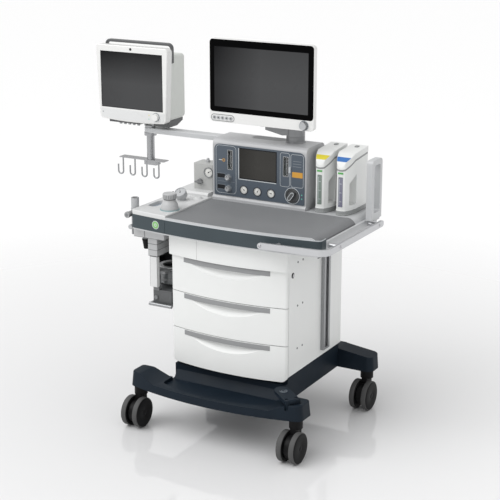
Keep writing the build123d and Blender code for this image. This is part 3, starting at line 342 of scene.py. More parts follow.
def lathe(name, centre, direction, profile, look, body, steps=48):
    """Turned piece: the profile's pairs are distance along the axis and radius, in mm."""
    turn = direction.to_track_quat("Z", "Y").to_matrix().to_4x4()
    place = Matrix.Translation(at(*centre)) @ turn
    points, faces = [], []
    for along, radius in profile:
        for i in range(steps):
            a = 2 * pi * i / steps
            points.append(Vector((radius * cos(a), radius * sin(a), along)) * MM)
    rows = len(profile)
    for row in range(rows - 1):
        for i in range(steps):
            j = (i + 1) % steps
            faces.append([row * steps + i, row * steps + j, (row + 1) * steps + j, (row + 1) * steps + i])
    faces += [list(range(steps)), list(range((rows - 1) * steps, rows * steps))]
    return new_piece(name, mesh_of(name, points, faces, place), look, body)


def wire_loop(name, points, radius, look, body):
    """Closed round bar along points in machine mm."""
    curve = bpy.data.curves.new(name, "CURVE")
    curve.dimensions = "3D"
    curve.bevel_depth = radius * MM
    curve.bevel_resolution = 4
    curve.use_fill_caps = True
    line = curve.splines.new("POLY")
    line.points.add(len(points) - 1)
    for target, p in zip(line.points, points):
        target.co = (*at(*p), 1)
    line.use_cyclic_u = True
    piece = bpy.data.objects.new(name, curve)
    scene.collection.objects.link(piece)
    curve.materials.append(LOOKS[look])
    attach(piece, body)
    return piece


def wrap(name, path, low, high, look, body, out=0.8, back=0.4, bevel=0.0):
    """Thin wall along a line in plan; low and high give its height at each Y."""
    points, faces = [], []
    count = len(path)
    for i, (x, y) in enumerate(path):
        before, after = Vector(path[max(i - 1, 0)]), Vector(path[min(i + 1, count - 1)])
        run = (after - before).normalized()
        side = Vector((run.y, -run.x))
        for offset, level in ((out, low), (out, high), (-back, high), (-back, low)):
            points.append(at(x + side.x * offset, y + side.y * offset, level(y)))
    for i in range(count - 1):
        for k in range(4):
            a, b = 4 * i + k, 4 * i + (k + 1) % 4
            faces.append([a, b, b + 4, a + 4])
    faces += [[0, 1, 2, 3], [4 * (count - 1) + k for k in range(4)]]
    return new_piece(name, mesh_of(name, points, faces), look, body, bevel)


def arc_points(centre, radius, start, end, steps=8):
    """Points of an arc about a centre, between two angles in degrees."""
    return [(centre[0] + radius * cos(radians(start + (end - start) * i / steps)),
             centre[1] + radius * sin(radians(start + (end - start) * i / steps))) for i in range(steps + 1)]


def through(a, b, c, steps=10):
    """Points of the circular arc through three points in plan."""
    ax, ay, bx, by, cx, cy = *a, *b, *c
    aa, bb, cc = ax * ax + ay * ay, bx * bx + by * by, cx * cx + cy * cy
    d = 2 * (ax * (by - cy) + bx * (cy - ay) + cx * (ay - by))
    ux = (aa * (by - cy) + bb * (cy - ay) + cc * (ay - by)) / d
    uy = (aa * (cx - bx) + bb * (ax - cx) + cc * (bx - ax)) / d
    radius = Vector((ax - ux, ay - uy)).length
    first, last = atan2(ay - uy, ax - ux), atan2(cy - uy, cx - ux)
    turn = (last - first + pi) % (2 * pi) - pi
    return [(ux + radius * cos(first + turn * i / steps), uy + radius * sin(first + turn * i / steps))
            for i in range(steps + 1)]


def dial(name, centre, normal, radius, body, needle):
    """Gauge face: pale disc, printed marks, pointer and hub, on a plane across its normal."""
    marks, sweep = 11, 270
    across = X.copy()
    up = normal.cross(across).normalized()
    if up.z < 0:
        up = -up
    base = at(*centre)

    def flat(u, v, w):
        return base + (across * u + up * v + normal * w) * MM

    lathe(f"{name}_face", centre, normal, [(-0.6, radius), (0, radius), (0.15, radius - 0.3)], "dial", body,
          40)
    lathe(f"{name}_hub", centre, normal, [(0.1, radius * 0.16), (1.1, radius * 0.15), (1.4, radius * 0.08)],
          "gloss_black", body, 24)
    points, faces = [], []

    def bar(angle, r0, r1, width, low, high):
        a = radians(angle)
        along = (sin(a), cos(a))
        side = (cos(a) * width / 2, -sin(a) * width / 2)
        corner = [(along[0] * r + side[0] * k, along[1] * r + side[1] * k) for r, k in
                  ((r0, -1), (r0, 1), (r1, 1), (r1, -1))]
        start = len(points)
        points.extend(flat(u, v, w) for w in (low, high) for u, v in corner)
        for face in ((0, 1, 2, 3), (4, 5, 6, 7), (0, 1, 5, 4), (1, 2, 6, 5), (2, 3, 7, 6), (3, 0, 4, 7)):
            faces.append([start + k for k in face])

    for i in range(marks):
        bar(-sweep / 2 + sweep * i / (marks - 1), radius * 0.78, radius * 0.94, radius * 0.055, -0.1, 0.25)
    new_piece(f"{name}_marks", mesh_of(f"{name}_marks", points, faces), "gloss_black", body, smooth=False)
    points, faces = [], []
    bar(needle, -radius * 0.25, radius * 0.72, radius * 0.075, 0.5, 0.9)
    new_piece(f"{name}_needle", mesh_of(f"{name}_needle", points, faces), "gloss_black", body, smooth=False)


def plate(name, low, high, look, body, front, back, radius=1.5, plane="XZ", bevel=0.0):
    """Rounded plate between two depths."""
    return prism(name, rounded(low, high, radius), front, back, look, body, plane, bevel)


# CAD nodes: finish and softened edges


def dress(node, look, bevel=0.0):
    """Give a CAD node its finish, and round its sharp edges."""
    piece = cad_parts[node]
    piece.data.materials.clear()
    piece.data.materials.append(LOOKS[look])
    if bevel:
        weld = piece.modifiers.new("weld", "WELD")
        weld.merge_threshold = 0.00002
        flat = piece.modifiers.new("flat", "DECIMATE")
        flat.decimate_type = "DISSOLVE"
        flat.angle_limit = radians(0.4)
        round_edges(piece, bevel)


CAD_LOOKS = {
    "base_chassis": ("navy", 4.0), "brake_pedal": ("navy", 2.0), "cabinet_covers": ("white", 2.0),
    "cabinet_frame": ("steel", 0), "front_apron": ("white", 1.2), "drawer_lock": ("screw", 0.6),
    "side_channel": ("aluminium", 0.5), "cover_screws": ("neck", 0), "worktop_tray": ("tray", 1.5),
    "front_band": ("band", 0.8), "worktop_mat": ("mat", 0.8), "left_deck": ("deck", 1.0),
    "apl_valve": ("valve", 0.8), "side_rail": ("rail", 1.0), "guard_handle": ("tray", 4.0),
    "unit_housing": ("housing", 2.0), "unit_panel": ("panel", 0.5), "unit_display": ("window", 0),
    "flow_tubes": ("clear", 0), "gauge_set": ("knob", 0.5), "system_switch": ("foot", 0.8),
    "monitor_column": ("metal_grey", 0.8), "monitor_arm": ("metal_grey", 3.0),
    "monitor_housing": ("monitor", 1.5), "monitor_glass": ("bezel", 0.3),
    "monitor_knob": ("metal_grey", 0.8), "boom_mast": ("metal_grey", 0.8), "boom_arm": ("tray", 1.0),
    "boom_hanger": ("hook", 0.8), "patient_housing": ("cover", 2.0), "patient_front": ("monitor", 1.5),
    "patient_screen": ("window", 0), "patient_handle": ("handle", 4.0), "patient_knob": ("monitor", 0.8),
    "vaporizer_body_left": ("white", 4.0), "vaporizer_body_right": ("white", 4.0),
    "vaporizer_cap_left": ("white", 4.0), "vaporizer_cap_right": ("white", 4.0),
    "vaporizer_seats": ("seat", 1.0), "suction_unit": ("suction", 1.5), "suction_knob": ("neck", 0.8),
    "breathing_block": ("neck", 1.5), "absorber_canister": ("canister", 0.5),
    "absorber_lever": ("aluminium", 0.5), "flow_knob_upper": ("knob", 0.6),
    "flow_knob_lower": ("knob", 0.6),
}
for node, (look, width) in CAD_LOOKS.items():
    dress(node, look, width)
for level in ("upper", "middle", "lower"):
    dress(f"drawer_{level}", "white", 1.6)
    dress(f"drawer_grip_{level}", "grip", 1.2)

# Casters
for corner in ("front_left", "front_right", "rear_left", "rear_right"):
    dress(f"caster_housing_{corner}", "black", 3.0)
    low, high = span(f"caster_wheels_{corner}")
    middle = ((low.x + high.x) / 2, (low.y + high.y) / 2, (low.z + high.z) / 2)
    body = f"wheels_{corner}"
    radius = (high.z - low.z) / 2
    width = 26.0
    for side, sign in (("inner", -1), ("outer", 1)):
        face = high.x if sign > 0 else low.x
        centre = (face, middle[1], middle[2])
        inward = X * -sign
        tread = [(2.2, radius - 2.6), (3, radius - 0.9), (5.5, radius), (width - 5.5, radius),
                 (width - 3, radius - 0.9), (width - 2.2, radius - 2.6), (width - 3, radius - 8),
                 (3, radius - 8)]
        tyre = lathe(f"tyre_{corner}_{side}", centre, inward, tread, "tyre", body, 64)
        flank = [(-0.2, 1), (-0.2, 9), (0.4, 10), (0.4, 13), (-0.3, 14.5), (-0.5, radius - 10),
                 (0.3, radius - 5.5), (1.9, radius - 3.2), (2.8, radius - 4.5), (width - 2.8, radius - 4.5),
                 (width - 1.9, radius - 3.2), (width - 0.4, radius - 6), (width - 3, radius - 16),
                 (width - 3, 12), (width - 0.5, 11), (width - 0.5, 1)]
        lathe(f"hub_{corner}_{side}", centre, inward, flank, "black", body, 64)
        if sign > 0:
            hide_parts(f"caster_wheels_{corner}")
    axle_y, axle_z = middle[1], middle[2]
    lathe(f"axle_{corner}", (low.x + width - 2, axle_y, axle_z), X,
          [(0, 5.9), (high.x - low.x - 2 * width + 4, 5.9)], "screw", body, 24)

# Main monitor
MONITOR_KNOB = (187, 1231)
plate("main_screen", (-220, 1274), (204, 1516), "main_screen", "monitor", 99.2, 99.8, 2)
plate("chin_keys", (-232, 1219), (-133, 1237), "chin", "monitor", 99.3, 100.4, 8, bevel=0.3)
ring("chin_keys_edge", rounded((-237, 1214), (-128, 1242), 13.9, 10),
     rounded((-234.6, 1216.4), (-130.4, 1239.6), 11.5, 10), 99.2, 100.9, "neck", "monitor", bevel=0.3)
for step in range(5):
    lathe(f"chin_key_{step}", (-221 + step * 19.2, 99.4, 1228), -Y,
          [(0, 7.6), (1.4, 7.6), (2, 7), (2, 5.4), (1.6, 5.2)], "knob", "monitor", 28)
    lathe(f"chin_key_mark_{step}", (-221 + step * 19.2, 98, 1228), -Y, [(0, 3.4), (0.5, 3.3), (0.7, 2.8)],
          "handle", "monitor", 24)
ring("monitor_knob_ring", circle(MONITOR_KNOB, 20), circle(MONITOR_KNOB, 17.6), 99.3, 100.3, "line_dim",
     "monitor")
lathe("monitor_knob_cap", (MONITOR_KNOB[0], 86, MONITOR_KNOB[1]), -Y,
      [(-1, 15.2), (0.3, 15.2), (1.0, 14.3), (1.0, 13), (0.4, 12.2), (0.4, 3)], "knob", "monitor_knob", 40)

# Patient monitor
PATIENT_KNOB = (-571, 1177)
plate("side_screen", (-849, 1203), (-539, 1440), "side_screen", "patient_monitor", 202.5, 203.2, 1)
chin_line = through((-532, 1157), (-692, 1149), (-852, 1157), 24)
prism("patient_chin", chin_line + [(-856, 1194), (-528, 1194)], 199.3, 200.4, "chin", "patient_monitor",
      bevel=0.3)
ring("patient_knob_ring", circle(PATIENT_KNOB, 18.6), circle(PATIENT_KNOB, 16.6), 198.7, 200, "line_dim",
     "patient_monitor")
lathe("patient_lamp_amber", (-606, 199.2, 1182), -Y, [(0, 2.4), (0.8, 2.2), (1.1, 1.2)], "amber_led",
      "patient_monitor", 20)
lathe("patient_lamp_teal", (-607, 199.2, 1166), -Y, [(0, 2.2), (0.8, 2.0), (1.1, 1.1)], "green_led",
      "patient_monitor", 20)
lathe("patient_sensor", (-695, 199.9, 1457), -Y, [(0, 6), (0.5, 5.6), (0.6, 3.5), (0.1, 3.2)], "gloss_black",
      "patient_monitor", 28)
lathe("patient_small_lamp", (-844, 199.2, 1179), -Y, [(0, 2.4), (0.6, 2.2)], "line_dim", "patient_monitor",
      20)
for step in range(5):
    lathe(f"patient_port_{step}", (-783 + step * 23, 244, 1130.4), -Z,
          [(0, 6), (1, 6.6), (6, 6.6), (7.6, 5.6), (7.6, 3.4), (2, 3.2)], "knob", "patient_monitor", 24)
foot = [(235.4, 1129.4), (264, 1129.4), (300.6, 1129.4), (346.8, 1146.6), (346.8, 1159.6), (235.4, 1159.6)]
for side, x0, x1 in (("left", -837.2, -675.4), ("right", -608.6, -528.8)):
    prism(f"patient_foot_{side}", foot, x0, x1, "foot", "patient_monitor", "YZ", bevel=1.2)
for step in range(9):
    plate(f"patient_vent_{step}", (-760 + step * 17, 1290), (-752 + step * 17, 1395), "inside",
          "patient_monitor", 359.6, 360.4, 3.5)

# Control panel: printed groups, windows and lamps
PRINT_Y = (118.6, 119.2)
GAUGE_Z = 934
SWITCH = (128, 936)
FLOW_KNOB_X = -167
print_frame("print_flow_group", (-227, 910), (-131, 1111), 16)
print_frame("print_pressure_group", (72, 970), (116, 1109), 10)
print_frame("print_power_group", (120, 972), (178, 1107), 10)
for name, z in (("upper", 974), ("lower", 927)):
    plate(f"flow_window_{name}", (-221, z), (-184, z + 18), "window", "frame", 118.5, 119.3, 2.5, bevel=0.2)
    ring(f"flow_window_edge_{name}", rounded((-222.4, z - 1.4), (-182.6, z + 19.4), 3.5),
         rounded((-221, z), (-184, z + 18), 2.5), *PRINT_Y, "line_dim", "frame")
plate("flow_row_line", (-221, 959.4), (-137, 960.6), "line_dim", "frame", 118.65, 119.2, 0.5)
ring("flush_mark_ring", circle((-190, 1049), 6.5), circle((-190, 1049), 4.2), *PRINT_Y, "orange", "frame")
plate("flush_mark_bar", (-213, 1047.4), (-198, 1050.6), "line", "frame", *PRINT_Y, 0.8)
plate("lcd", (-114.5, 984), (52.5, 1103.5), "lcd", "frame", 118.9, 119.6, 2)
plate("lcd_edge_left", (-121, 977), (-117.4, 1106), "line", "frame", 118.5, 119.4, 1.2)
plate("lcd_edge_low", (-121, 976), (55, 979.4), "line", "frame", 118.5, 119.4, 1.2)
for name, x in (("left", -160), ("right", 98)):
    plate(f"tube_scale_light_{name}", (x - 7.8, 1018.4), (x - 0.6, 1086.6), "line", "frame", 133.5, 135.5,
          0.6)
    plate(f"tube_scale_dark_{name}", (x + 0.2, 1018.4), (x + 7.8, 1086.6), "gloss_black", "frame", 120.6,
          121.8, 0.6)
    for step in range(15):
        z = 1021 + step * 4.5
        long = 6.2 if step % 5 == 0 else 3.6
        plate(f"tube_mark_{name}_{step}", (x + 1, z), (x + 1 + long, z + 1.1), "line", "frame", 120.3,
              120.7, 0.3)
    ring(f"tube_frame_{name}", rounded((x - 12.6, 1011.2), (x + 12.6, 1093.8), 3),
         rounded((x - 11, 1012.8), (x + 11, 1092.2), 2), 118.3, 119.3, "knob", "frame", bevel=0.2)
for name, x, needle in (("a", -95, -50), ("b", -32, 28), ("c", 31, -75)):
    dial(f"panel_gauge_{name}", (x, 119.2, GAUGE_Z), -Y, 14.6, "frame", needle)
    ring(f"panel_gauge_rim_{name}", circle((x, GAUGE_Z), 18.6), circle((x, GAUGE_Z), 16.2), 117.0, 118.6,
         "gloss_black", "frame", bevel=0.3)
plate("power_latch", (114, 1029), (121, 1055), "line", "frame", 113.5, 119.2, 3, bevel=0.8)
plate("power_plate", (127, 1013), (174, 1035), "orange", "frame", 118.5, 119.2, 1.5)
for step in range(3):
    plate(f"power_line_{step}", (130, 1078 - step * 11), (168, 1080 - step * 11), "line_dim", "frame",
          *PRINT_Y, 0.5)
ring("switch_ring", circle(SWITCH, 34), circle(SWITCH, 31.6), 117.8, 119.3, "line", "frame", bevel=0.4)
lathe("switch_dish", (SWITCH[0], 120.2, SWITCH[1]), -Y, [(-0.5, 24.8), (0, 24.8), (0.2, 23), (-0.4, 10)],
      "neck", "system_switch", 48)
for name, x, z in (("high", 171, 944), ("low", 171, 928)):
    lathe(f"switch_lamp_{name}", (x, 118.9, z), -Y, [(0, 2.6), (0.7, 2.4), (1.1, 1.3)], "green_led",
          "frame", 20)
loop_shape = ((0, 1.15), (0.75, 0.95), (1, 0.6), (1, -0.6), (0.75, -0.95), (0, -1.15), (-0.75, -0.95),
              (-1, -0.6), (-1, 0.6), (-0.75, 0.95))
loop = [(x * 7.0, z * 17.0) for x, z in loop_shape]
lean = radians(35)
leaning_loop = [(SWITCH[0] + x * cos(lean) + z * sin(lean), 103.6,
                 SWITCH[1] - x * sin(lean) + z * cos(lean)) for x, z in loop]
wire_loop("switch_loop", leaning_loop, 1.5, "line", "system_switch")
for name, z in (("upper", 979), ("lower", 932)):
    ring(f"flow_knob_ring_{name}", circle((FLOW_KNOB_X, z), 14), circle((FLOW_KNOB_X, z), 12), 118.4, 119.2,
         "line_dim", "frame")
    for step in range(12):
        turn = 2 * pi * step / 12
        lathe(f"flow_rib_{name}_{step}", (FLOW_KNOB_X + 10.6 * cos(turn), 117.8, z + 10.6 * sin(turn)), -Y,
              [(0, 1.6), (12.5, 1.2), (13.5, 0.6)], "knob", f"flow_knob_{name}", 8)
    plate(f"flow_pointer_{name}", (FLOW_KNOB_X - 0.8, z + 2), (FLOW_KNOB_X + 0.8, z + 9), "gloss_black",
          f"flow_knob_{name}", 102.7, 103.4, 0.4)

# Unit top: floor of the cable recess, in dark grey as painted shade in the recess
prism("unit_slot_shade_floor", rounded((-110, 199.6), (42, 256.4), 28), 1132.3, 1132.8, "neck", "frame", "XY")

# Vaporizers
for side, x, strip, agent in (("left", 246, "yellow", "agent_green"), ("right", 338, "blue", "agent_violet")):
    body = f"vaporizer_{side}"
    front, half, nose = 125, 36, 18
    plan = [(x - half, 296)]
    plan += through((x - half, front + 80), (x - half + 6, front + 34), (x - nose, front + 5), 12)
    plan += through((x - nose, front + 5), (x, front), (x + nose, front + 5), 8)[1:]
    plan += through((x + nose, front + 5), (x + half - 6, front + 34), (x + half, front + 80), 12)[1:]
    plan.append((x + half, 296))

    def shoulder(y):
        """Height of the seam between body and cap at a Y."""
        return 1065 + (y - 122) * 35 / 63 if y < 185 else 1100 + (y - 185) * 12 / 118

    wrap(f"vaporizer_band_{side}", plan, lambda y: shoulder(y) - 7.5, lambda y: shoulder(y) - 0.6, "seat",
         body, 0.9)
    wrap(f"vaporizer_base_{side}", plan, lambda y: 885.5, lambda y: 899, "seat", body, 2.2, 0.2)
    rows = ((132.5, 19.6), (138, 22.4), (145, 25.4), (151, 27.6), (156, 29.2))
    points = [at(x + sign * width, y, 1096.3 + (y - 131) * 28 / 52 + lift)
              for lift in (-0.5, 0.7) for y, width in rows for sign in (-1, 1)]
    count = 2 * len(rows)
    faces = []
    for row in range(len(rows) - 1):
        a = 2 * row
        faces += [[a, a + 1, a + 3, a + 2], [count + a, count + a + 1, count + a + 3, count + a + 2],
                  [a, a + 2, count + a + 2, count + a], [a + 1, a + 3, count + a + 3, count + a + 1]]
    faces += [[0, 1, count + 1, count], [count - 2, count - 1, 2 * count - 1, 2 * count - 2]]
    new_piece(f"vaporizer_strip_{side}", mesh_of(f"vaporizer_strip_{side}", points, faces), strip, body)
    plate(f"vaporizer_glass_{side}", (x - 9.4, 915), (x + 9.4, 1035), agent, body, 126, 127.8, 2.5, bevel=0.4)
    plate(f"vaporizer_glass_edge_{side}", (x - 6.4, 922), (x - 4.6, 1028), "line", body, 125.4, 126.2, 0.6)
    for step in range(3):
        plate(f"vaporizer_level_{side}_{step}", (x - 4, 936 + step * 36), (x + 5, 937.6 + step * 36),
              "line", body, 125.6, 126.2, 0.5)
    plate(f"vaporizer_mark_{side}", (x - 11, 1048), (x + 11, 1055), "green", body, 124.2, 127.5, 1.2)
    plate(f"vaporizer_lock_{side}", (x - 8, 262), (x + 8, 284), "seat", body, 1124, 1134.5, 5, "XY", 1.0)
# Divider between the vaporizers, near-black as painted shade in the gap between them
plate("vaporizer_divider_shade", (284, 240), (300, 296), "inside", "frame", 882, 1060, 2, "XY")

# Deck and suction
VALVE = (-288, -142)
AIRWAY_GAUGE = (-330, 8, 913)
SUCTION_GAUGE = (-281, 980)
PORT = (-441.5, -162)
prism("deck_recess_floor", rounded((-402.4, -137.4), (-361.6, -34.6), 20.2), 874.6, 875.3, "recess",
      "frame", "XY")
lathe("valve_base_ring", (*VALVE, 887), Z, [(0, 39.5), (2, 39.5), (2.9, 38.6), (2.9, 37.2)], "teal",
      "frame", 64)
lathe("valve_cap_top", (*VALVE, 953), Z, [(-0.2, 26.4), (1.2, 25), (1.8, 20), (1.2, 18.5), (1.2, 2)], "valve",
      "apl_valve", 48)
lathe("valve_cap_shadow", (*VALVE, 929.6), Z, [(0, 25.6), (1.8, 25.6), (2.2, 25)], "foot", "apl_valve", 48)
# Dark rods between the cap's ribs: painted shade of the grooves
for step in range(24):
    turn = 2 * pi * (step + 0.5) / 24
    lathe(f"valve_groove_shade_{step}", (VALVE[0] + 26.4 * cos(turn), VALVE[1] + 26.4 * sin(turn), 934), Z,
          [(0, 0.4), (0.6, 1.5), (15, 1.5), (15.6, 0.4)], "neck", "apl_valve", 10)
plate("valve_cap_mark", (VALVE[0] - 2, VALVE[1] + 20), (VALVE[0] + 2, VALVE[1] + 30), "window", "apl_valve",
      954.2, 955.1, 0.8, "XY")
tilt = radians(35)
face_out = Vector((0, -sin(tilt), cos(tilt)))


def on_gauge(height):
    """Point above the middle of the tilted airway gauge."""
    x, y, z = AIRWAY_GAUGE
    return x, y - height * sin(tilt), z + height * cos(tilt)


dial("airway_gauge", on_gauge(9.6), face_out, 21.4, "frame", -30)
lathe("airway_gauge_rim", on_gauge(10), face_out,
      [(-12, 25.3), (1.6, 25.3), (2.6, 24.4), (2.6, 22.2), (0.4, 21.9)], "knob", "frame", 48)
dial("suction_gauge", (SUCTION_GAUGE[0], 148.2, SUCTION_GAUGE[1]), -Y, 19, "frame", 60)
ring("suction_gauge_rim", circle(SUCTION_GAUGE, 21.5), circle(SUCTION_GAUGE, 19.2), 144.6, 150.3, "neck",
     "frame", bevel=0.6)
prism("suction_tee", rounded((-341, 934), (-303, 942), 3.5), 131, 137, "neck", "suction_knob", bevel=1.0)
lathe("suction_outlet", (-308, 190, 1013), Z,
      [(0, 8), (8, 8), (9, 6.5), (16, 6), (17, 5), (17, 3.6), (10, 3.4)], "knob", "frame", 28)
lathe("port_sleeve", (*PORT, 812), Z,
      [(0, 16.4), (60, 16.4), (60, 17.6), (66, 17.6), (66, 16.4), (107.8, 16.4), (110.2, 15.2), (110.2, 11),
       (70, 10.8)], "knob", "frame", 48)
lathe("port_elbow_sleeve", (PORT[0], PORT[1] - 18, 862), -Y,
      [(0, 11.4), (34, 11.4), (34, 13), (42, 13), (44.4, 11.8), (44.4, 7.2), (38, 7)], "cast", "frame", 40)
lathe("port_hand_screw", (-429, -184, 813), -Y, [(0, 4), (22, 4), (22, 9.5), (34, 10), (36, 9), (36, 3)],
      "knob", "frame", 28)


# Worktop band, lips and rail end


def bow(x):
    """Y of the worktop's bowed front at an X."""
    return -252 + (x - 0.5) ** 2 / 5334


left_corner = arc_points((-407, -203.4), 17, 180, 266, 8)
right_corner = arc_points((408, -203.4), 17, 274, 360, 8)
front_line = [(x, bow(x)) for x in range(-400, 401, 20)]
band_line = [(-424, -176), *left_corner, *front_line, *right_corner, (425, -176)]
split = next(i for i, (x, _) in enumerate(band_line) if x > -251)
deck_line = band_line[:split] + [(-250.6, bow(-250.6))]
mat_line = [(-249.2, bow(-249.2))] + band_line[split:]
for name, line in (("deck", deck_line), ("mat", mat_line)):
    wrap(f"band_{name}", line, lambda y: 814.5, lambda y: 869.5, "band", "frame", 1.2, bevel=0.4)
wrap("band_lip_low", band_line, lambda y: 809.6, lambda y: 813.4, "tray", "frame", 1.6)
wrap("band_lip_high", mat_line, lambda y: 870.2, lambda y: 873.6, "line", "frame", 0.9)
lamp_out = Vector((-0.112, -0.994, 0))
lamp_steps = ((0.9, 17.5, "line"), (1.5, 14.8, "lamp_green"), (1.9, 6.6, "line"), (2.2, 3.6, "lamp_green"))
for index, (reach, radius, look) in enumerate(lamp_steps):
    lathe(f"band_lamp_{index}", (-296, bow(-296), 843), lamp_out,
          [(0.2, radius), (reach, radius), (reach + 0.4, radius - 0.6)], look, "frame", 48)
lathe("rail_end_screw", (204, -288.6, 840.5), -Y,
      [(0, 6.4), (0.6, 6.4), (1.6, 5.2), (1.7, 2.4), (0.7, 2.2)], "screw", "frame", 32)
for index, y in enumerate((-150, 205)):
    lathe(f"rail_bolt_{index}", (475, y, 840.5), X,
          [(0, 6.4), (0.6, 6.4), (1.6, 5.2), (1.7, 2.4), (0.7, 2.2)], "screw", "frame", 32)

# Breathing block under the deck
CANISTER = (-334, -50)
for index, (z0, z1) in enumerate(((690, 713), (715.5, 738), (740.5, 763.5))):
    plate(f"stack_ring_{index}", (-378.8, -170.8), (-334.2, -59.2), "block", "frame", z0, z1, 3, "XY", 0.6)
plate("manifold_skin_left", (-436.8, -184.8), (-385, 119.6), "block", "frame", 767, 807, 3, "XY", 0.8)
plate("manifold_skin_right", (-383.4, -184.8), (-291.2, 119.6), "block", "frame", 767, 807, 3, "XY", 0.8)
for index, x in enumerate((-425, -398, -371, -344, -317)):
    lathe(f"manifold_screw_{index}", (x, -185.2, 798), -Y,
          [(0, 3.6), (0.8, 3.4), (1.4, 2.4), (1.4, 1.5), (0.5, 1.4)], "screw", "frame", 20)
plate("column_skin", (-372.8, -168.8), (-336.2, -149.2), "chin", "frame", 557.4, 685.6, 5, "XY", 1.2)
plate("column_seam", (-373, -169), (-336, -130), "inside", "frame", 686, 689.6, 4, "XY")
# Near-black blocks in the absorber bay: painted shade filling its dark space
plate("absorber_cavity_shade", (-430, 24), (-284, 70), "inside", "frame", 500, 766, 6, "XY", 1.0)
plate("absorber_bay_side_shade", (-430, -30), (-423, 30), "inside", "frame", 500, 766, 2, "XY", 0.6)
plate("absorber_roof_shade", (-372, -56), (-284, 26), "inside", "frame", 700, 764, 6, "XY", 1.0)
plate("base_skin", (-370.8, -150.8), (-282.4, 12.6), "foot", "frame", 473, 541.8, 5, "XY", 2.0)
lathe("cone_port", (-398, -150, 753), -Z,
      [(0, 17.8), (2, 18.4), (6, 18.4), (7, 17), (40, 11.8), (42, 11), (42, 8.6), (20, 8)], "black",
      "frame", 40)
lathe("cone_neck", (-398, -150, 766), -Z, [(0, 15.6), (12, 15.6), (13, 14)], "neck", "frame", 40)
for index, z in enumerate((612.2, 621.4)):
    ring(f"canister_seal_{index}", circle(CANISTER, 63, 64), circle(CANISTER, 61, 64), z, z + 2.2, "black",
         "frame", "XY", bevel=0.4)
ring("collar_top", circle(CANISTER, 61.4, 64), circle(CANISTER, 43, 64), 623.6, 627, "block", "frame", "XY",
     bevel=1.2)
# Near-black well inside the collar: painted shade down its opening
lathe("collar_well", (*CANISTER, 616), Z, [(0, 43.8), (2, 43.8), (2, 30), (0.8, 28)], "inside", "frame", 64)
lathe("canister_band", (*CANISTER, 568), Z, [(0, 58.2), (0.6, 59.2), (9.4, 59.2), (10, 58.2)], "neck",
      "absorber_canister", 64)
lathe("absorber_knob", (-354, -151, 508), -Y, [(0, 8), (4, 8.6), (5.6, 7.6), (5.6, 2)], "neck", "frame", 32)
lathe("granule_bed", (*CANISTER, 562.4), Z, [(0, 52.4), (44, 52.4), (45.5, 50)], "granules",
      "absorber_canister", 48)

# Pedal, rear cover and lock
PEDAL_HINGE = (345, -283)
hinge = at(*PEDAL_HINGE, 238)
pedal_turn = Matrix.Translation(hinge) @ Matrix.Rotation(radians(143), 4, "Z") @ Matrix.Translation(-hinge)
for index, (outer, inner) in enumerate(((15, 13.2), (8, 6.6))):
    centre = (PEDAL_HINGE[0] + 78, PEDAL_HINGE[1])
    ring(f"pedal_mark_{index}", circle(centre, outer), circle(centre, inner), 252.2, 253.6, "line_dim",
         "brake_pedal", "XY", place=pedal_turn)
for index in range(11):
    plate(f"rear_vent_{index}", (-120, 640 + index * 12), (120, 645 + index * 12), "inside", "frame", 307.6,
          308.5, 2.4)
lathe("lock_bezel", (264, -129, 690), X, [(0, 11.5), (1.4, 11.2), (2.4, 10), (2.4, 7.3)], "gloss_black",
      "frame", 40)
ring("rear_cover_seam", rounded((-250, 290), (250, 800), 12), rounded((-248.6, 291.4), (248.6, 798.6), 11),
     307.8, 308.6, "neck", "frame")
for index, (x, z) in enumerate(((-238, 302), (238, 302), (-238, 788), (238, 788), (-238, 545), (238, 545))):
    lathe(f"rear_screw_{index}", (x, 308, z), Y, [(0, 5), (0.9, 5), (1.9, 3.8), (1.9, 2), (0.9, 1.9)],
          "screw", "frame", 24)

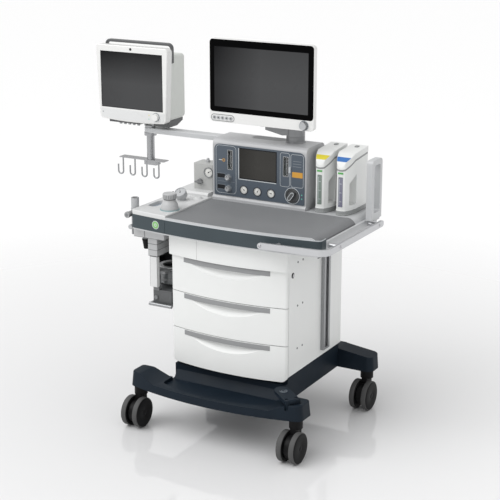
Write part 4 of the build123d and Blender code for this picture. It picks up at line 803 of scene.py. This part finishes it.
# Floor, light and camera
FLOOR_SIZE = 60
bpy.ops.mesh.primitive_plane_add(size=FLOOR_SIZE, location=(0, 0, 0))
floor = bpy.context.object
floor.name = "floor"
floor_look = finish_of("floor_pale", (0.90, 0.90, 0.90), 0.08, grain=3, depth=0.0, mottle=0.002, patch=0.3)
floor_tree = floor_look.node_tree
floor_reach = floor_tree.nodes.new("ShaderNodeVectorMath")
floor_reach.operation = "LENGTH"
floor_tree.links.new(floor_tree.nodes.new("ShaderNodeTexCoord").outputs["Object"], floor_reach.inputs[0])
# Painted shade on the floor: darker near the machine, paler further out
floor_painted_shade = remap(floor_tree, floor_reach.outputs["Value"], 0, 1, 0.5, 3.2)
floor_tree.links.new(tinted(floor_tree, floor_painted_shade, (0.76, 0.76, 0.765), (0.97, 0.97, 0.97)),
                     floor_tree.nodes["Principled BSDF"].inputs["Base Color"])
floor_tree.links.new(remap(floor_tree, floor_reach.outputs["Value"], 0.06, 0.5, 1.2, 3.5),
                     floor_tree.nodes["Principled BSDF"].inputs["Roughness"])
floor.data.materials.append(floor_look)


def area_light(name, place, target, size, power):
    """Soft light that faces its target, in metres and watts."""
    light = bpy.data.lights.new(name, "AREA")
    light.shape = "RECTANGLE"
    light.size, light.size_y = size
    light.energy = power
    lamp = bpy.data.objects.new(name, light)
    scene.collection.objects.link(lamp)
    lamp.location = place
    lamp.rotation_mode = "QUATERNION"
    lamp.rotation_quaternion = (Vector(target) - Vector(place)).to_track_quat("-Z", "Y")


area_light("key", (-1.8, -3.2, 3.4), (0, 0, 0.8), (2.6, 2.0), 22)
area_light("right", (3.6, -0.6, 2.2), (0.2, 0, 0.8), (2.0, 2.4), 4)
sun_data = bpy.data.lights.new("sun", "SUN")
sun_data.energy = 1.45
sun_data.angle = radians(50)
sun = bpy.data.objects.new("sun", sun_data)
scene.collection.objects.link(sun)
sun.rotation_mode = "QUATERNION"
sun.rotation_quaternion = Vector((0.35, 0.45, -0.85)).to_track_quat("-Z", "Y")

world = bpy.data.worlds.new("studio")
scene.world = world
world.use_nodes = True
world.node_tree.nodes["Background"].inputs["Color"].default_value = (1, 1, 1, 1)
world.node_tree.nodes["Background"].inputs["Strength"].default_value = 0.70
scene.view_settings.view_transform = "Standard"

AZIMUTH, ELEVATION = radians(29.4), radians(16.39)
CAMERA_PLACE = (2578.0, -4574.0, 2266.4)
LENS = 97.8
camera_data = bpy.data.cameras.new("camera")
camera_data.lens = LENS
camera = bpy.data.objects.new("camera", camera_data)
scene.collection.objects.link(camera)
camera.location = at(*CAMERA_PLACE)
sight = Vector((-sin(AZIMUTH) * cos(ELEVATION), cos(AZIMUTH) * cos(ELEVATION), -sin(ELEVATION)))
camera.rotation_mode = "QUATERNION"
camera.rotation_quaternion = sight.to_track_quat("-Z", "Y")
scene.camera = camera
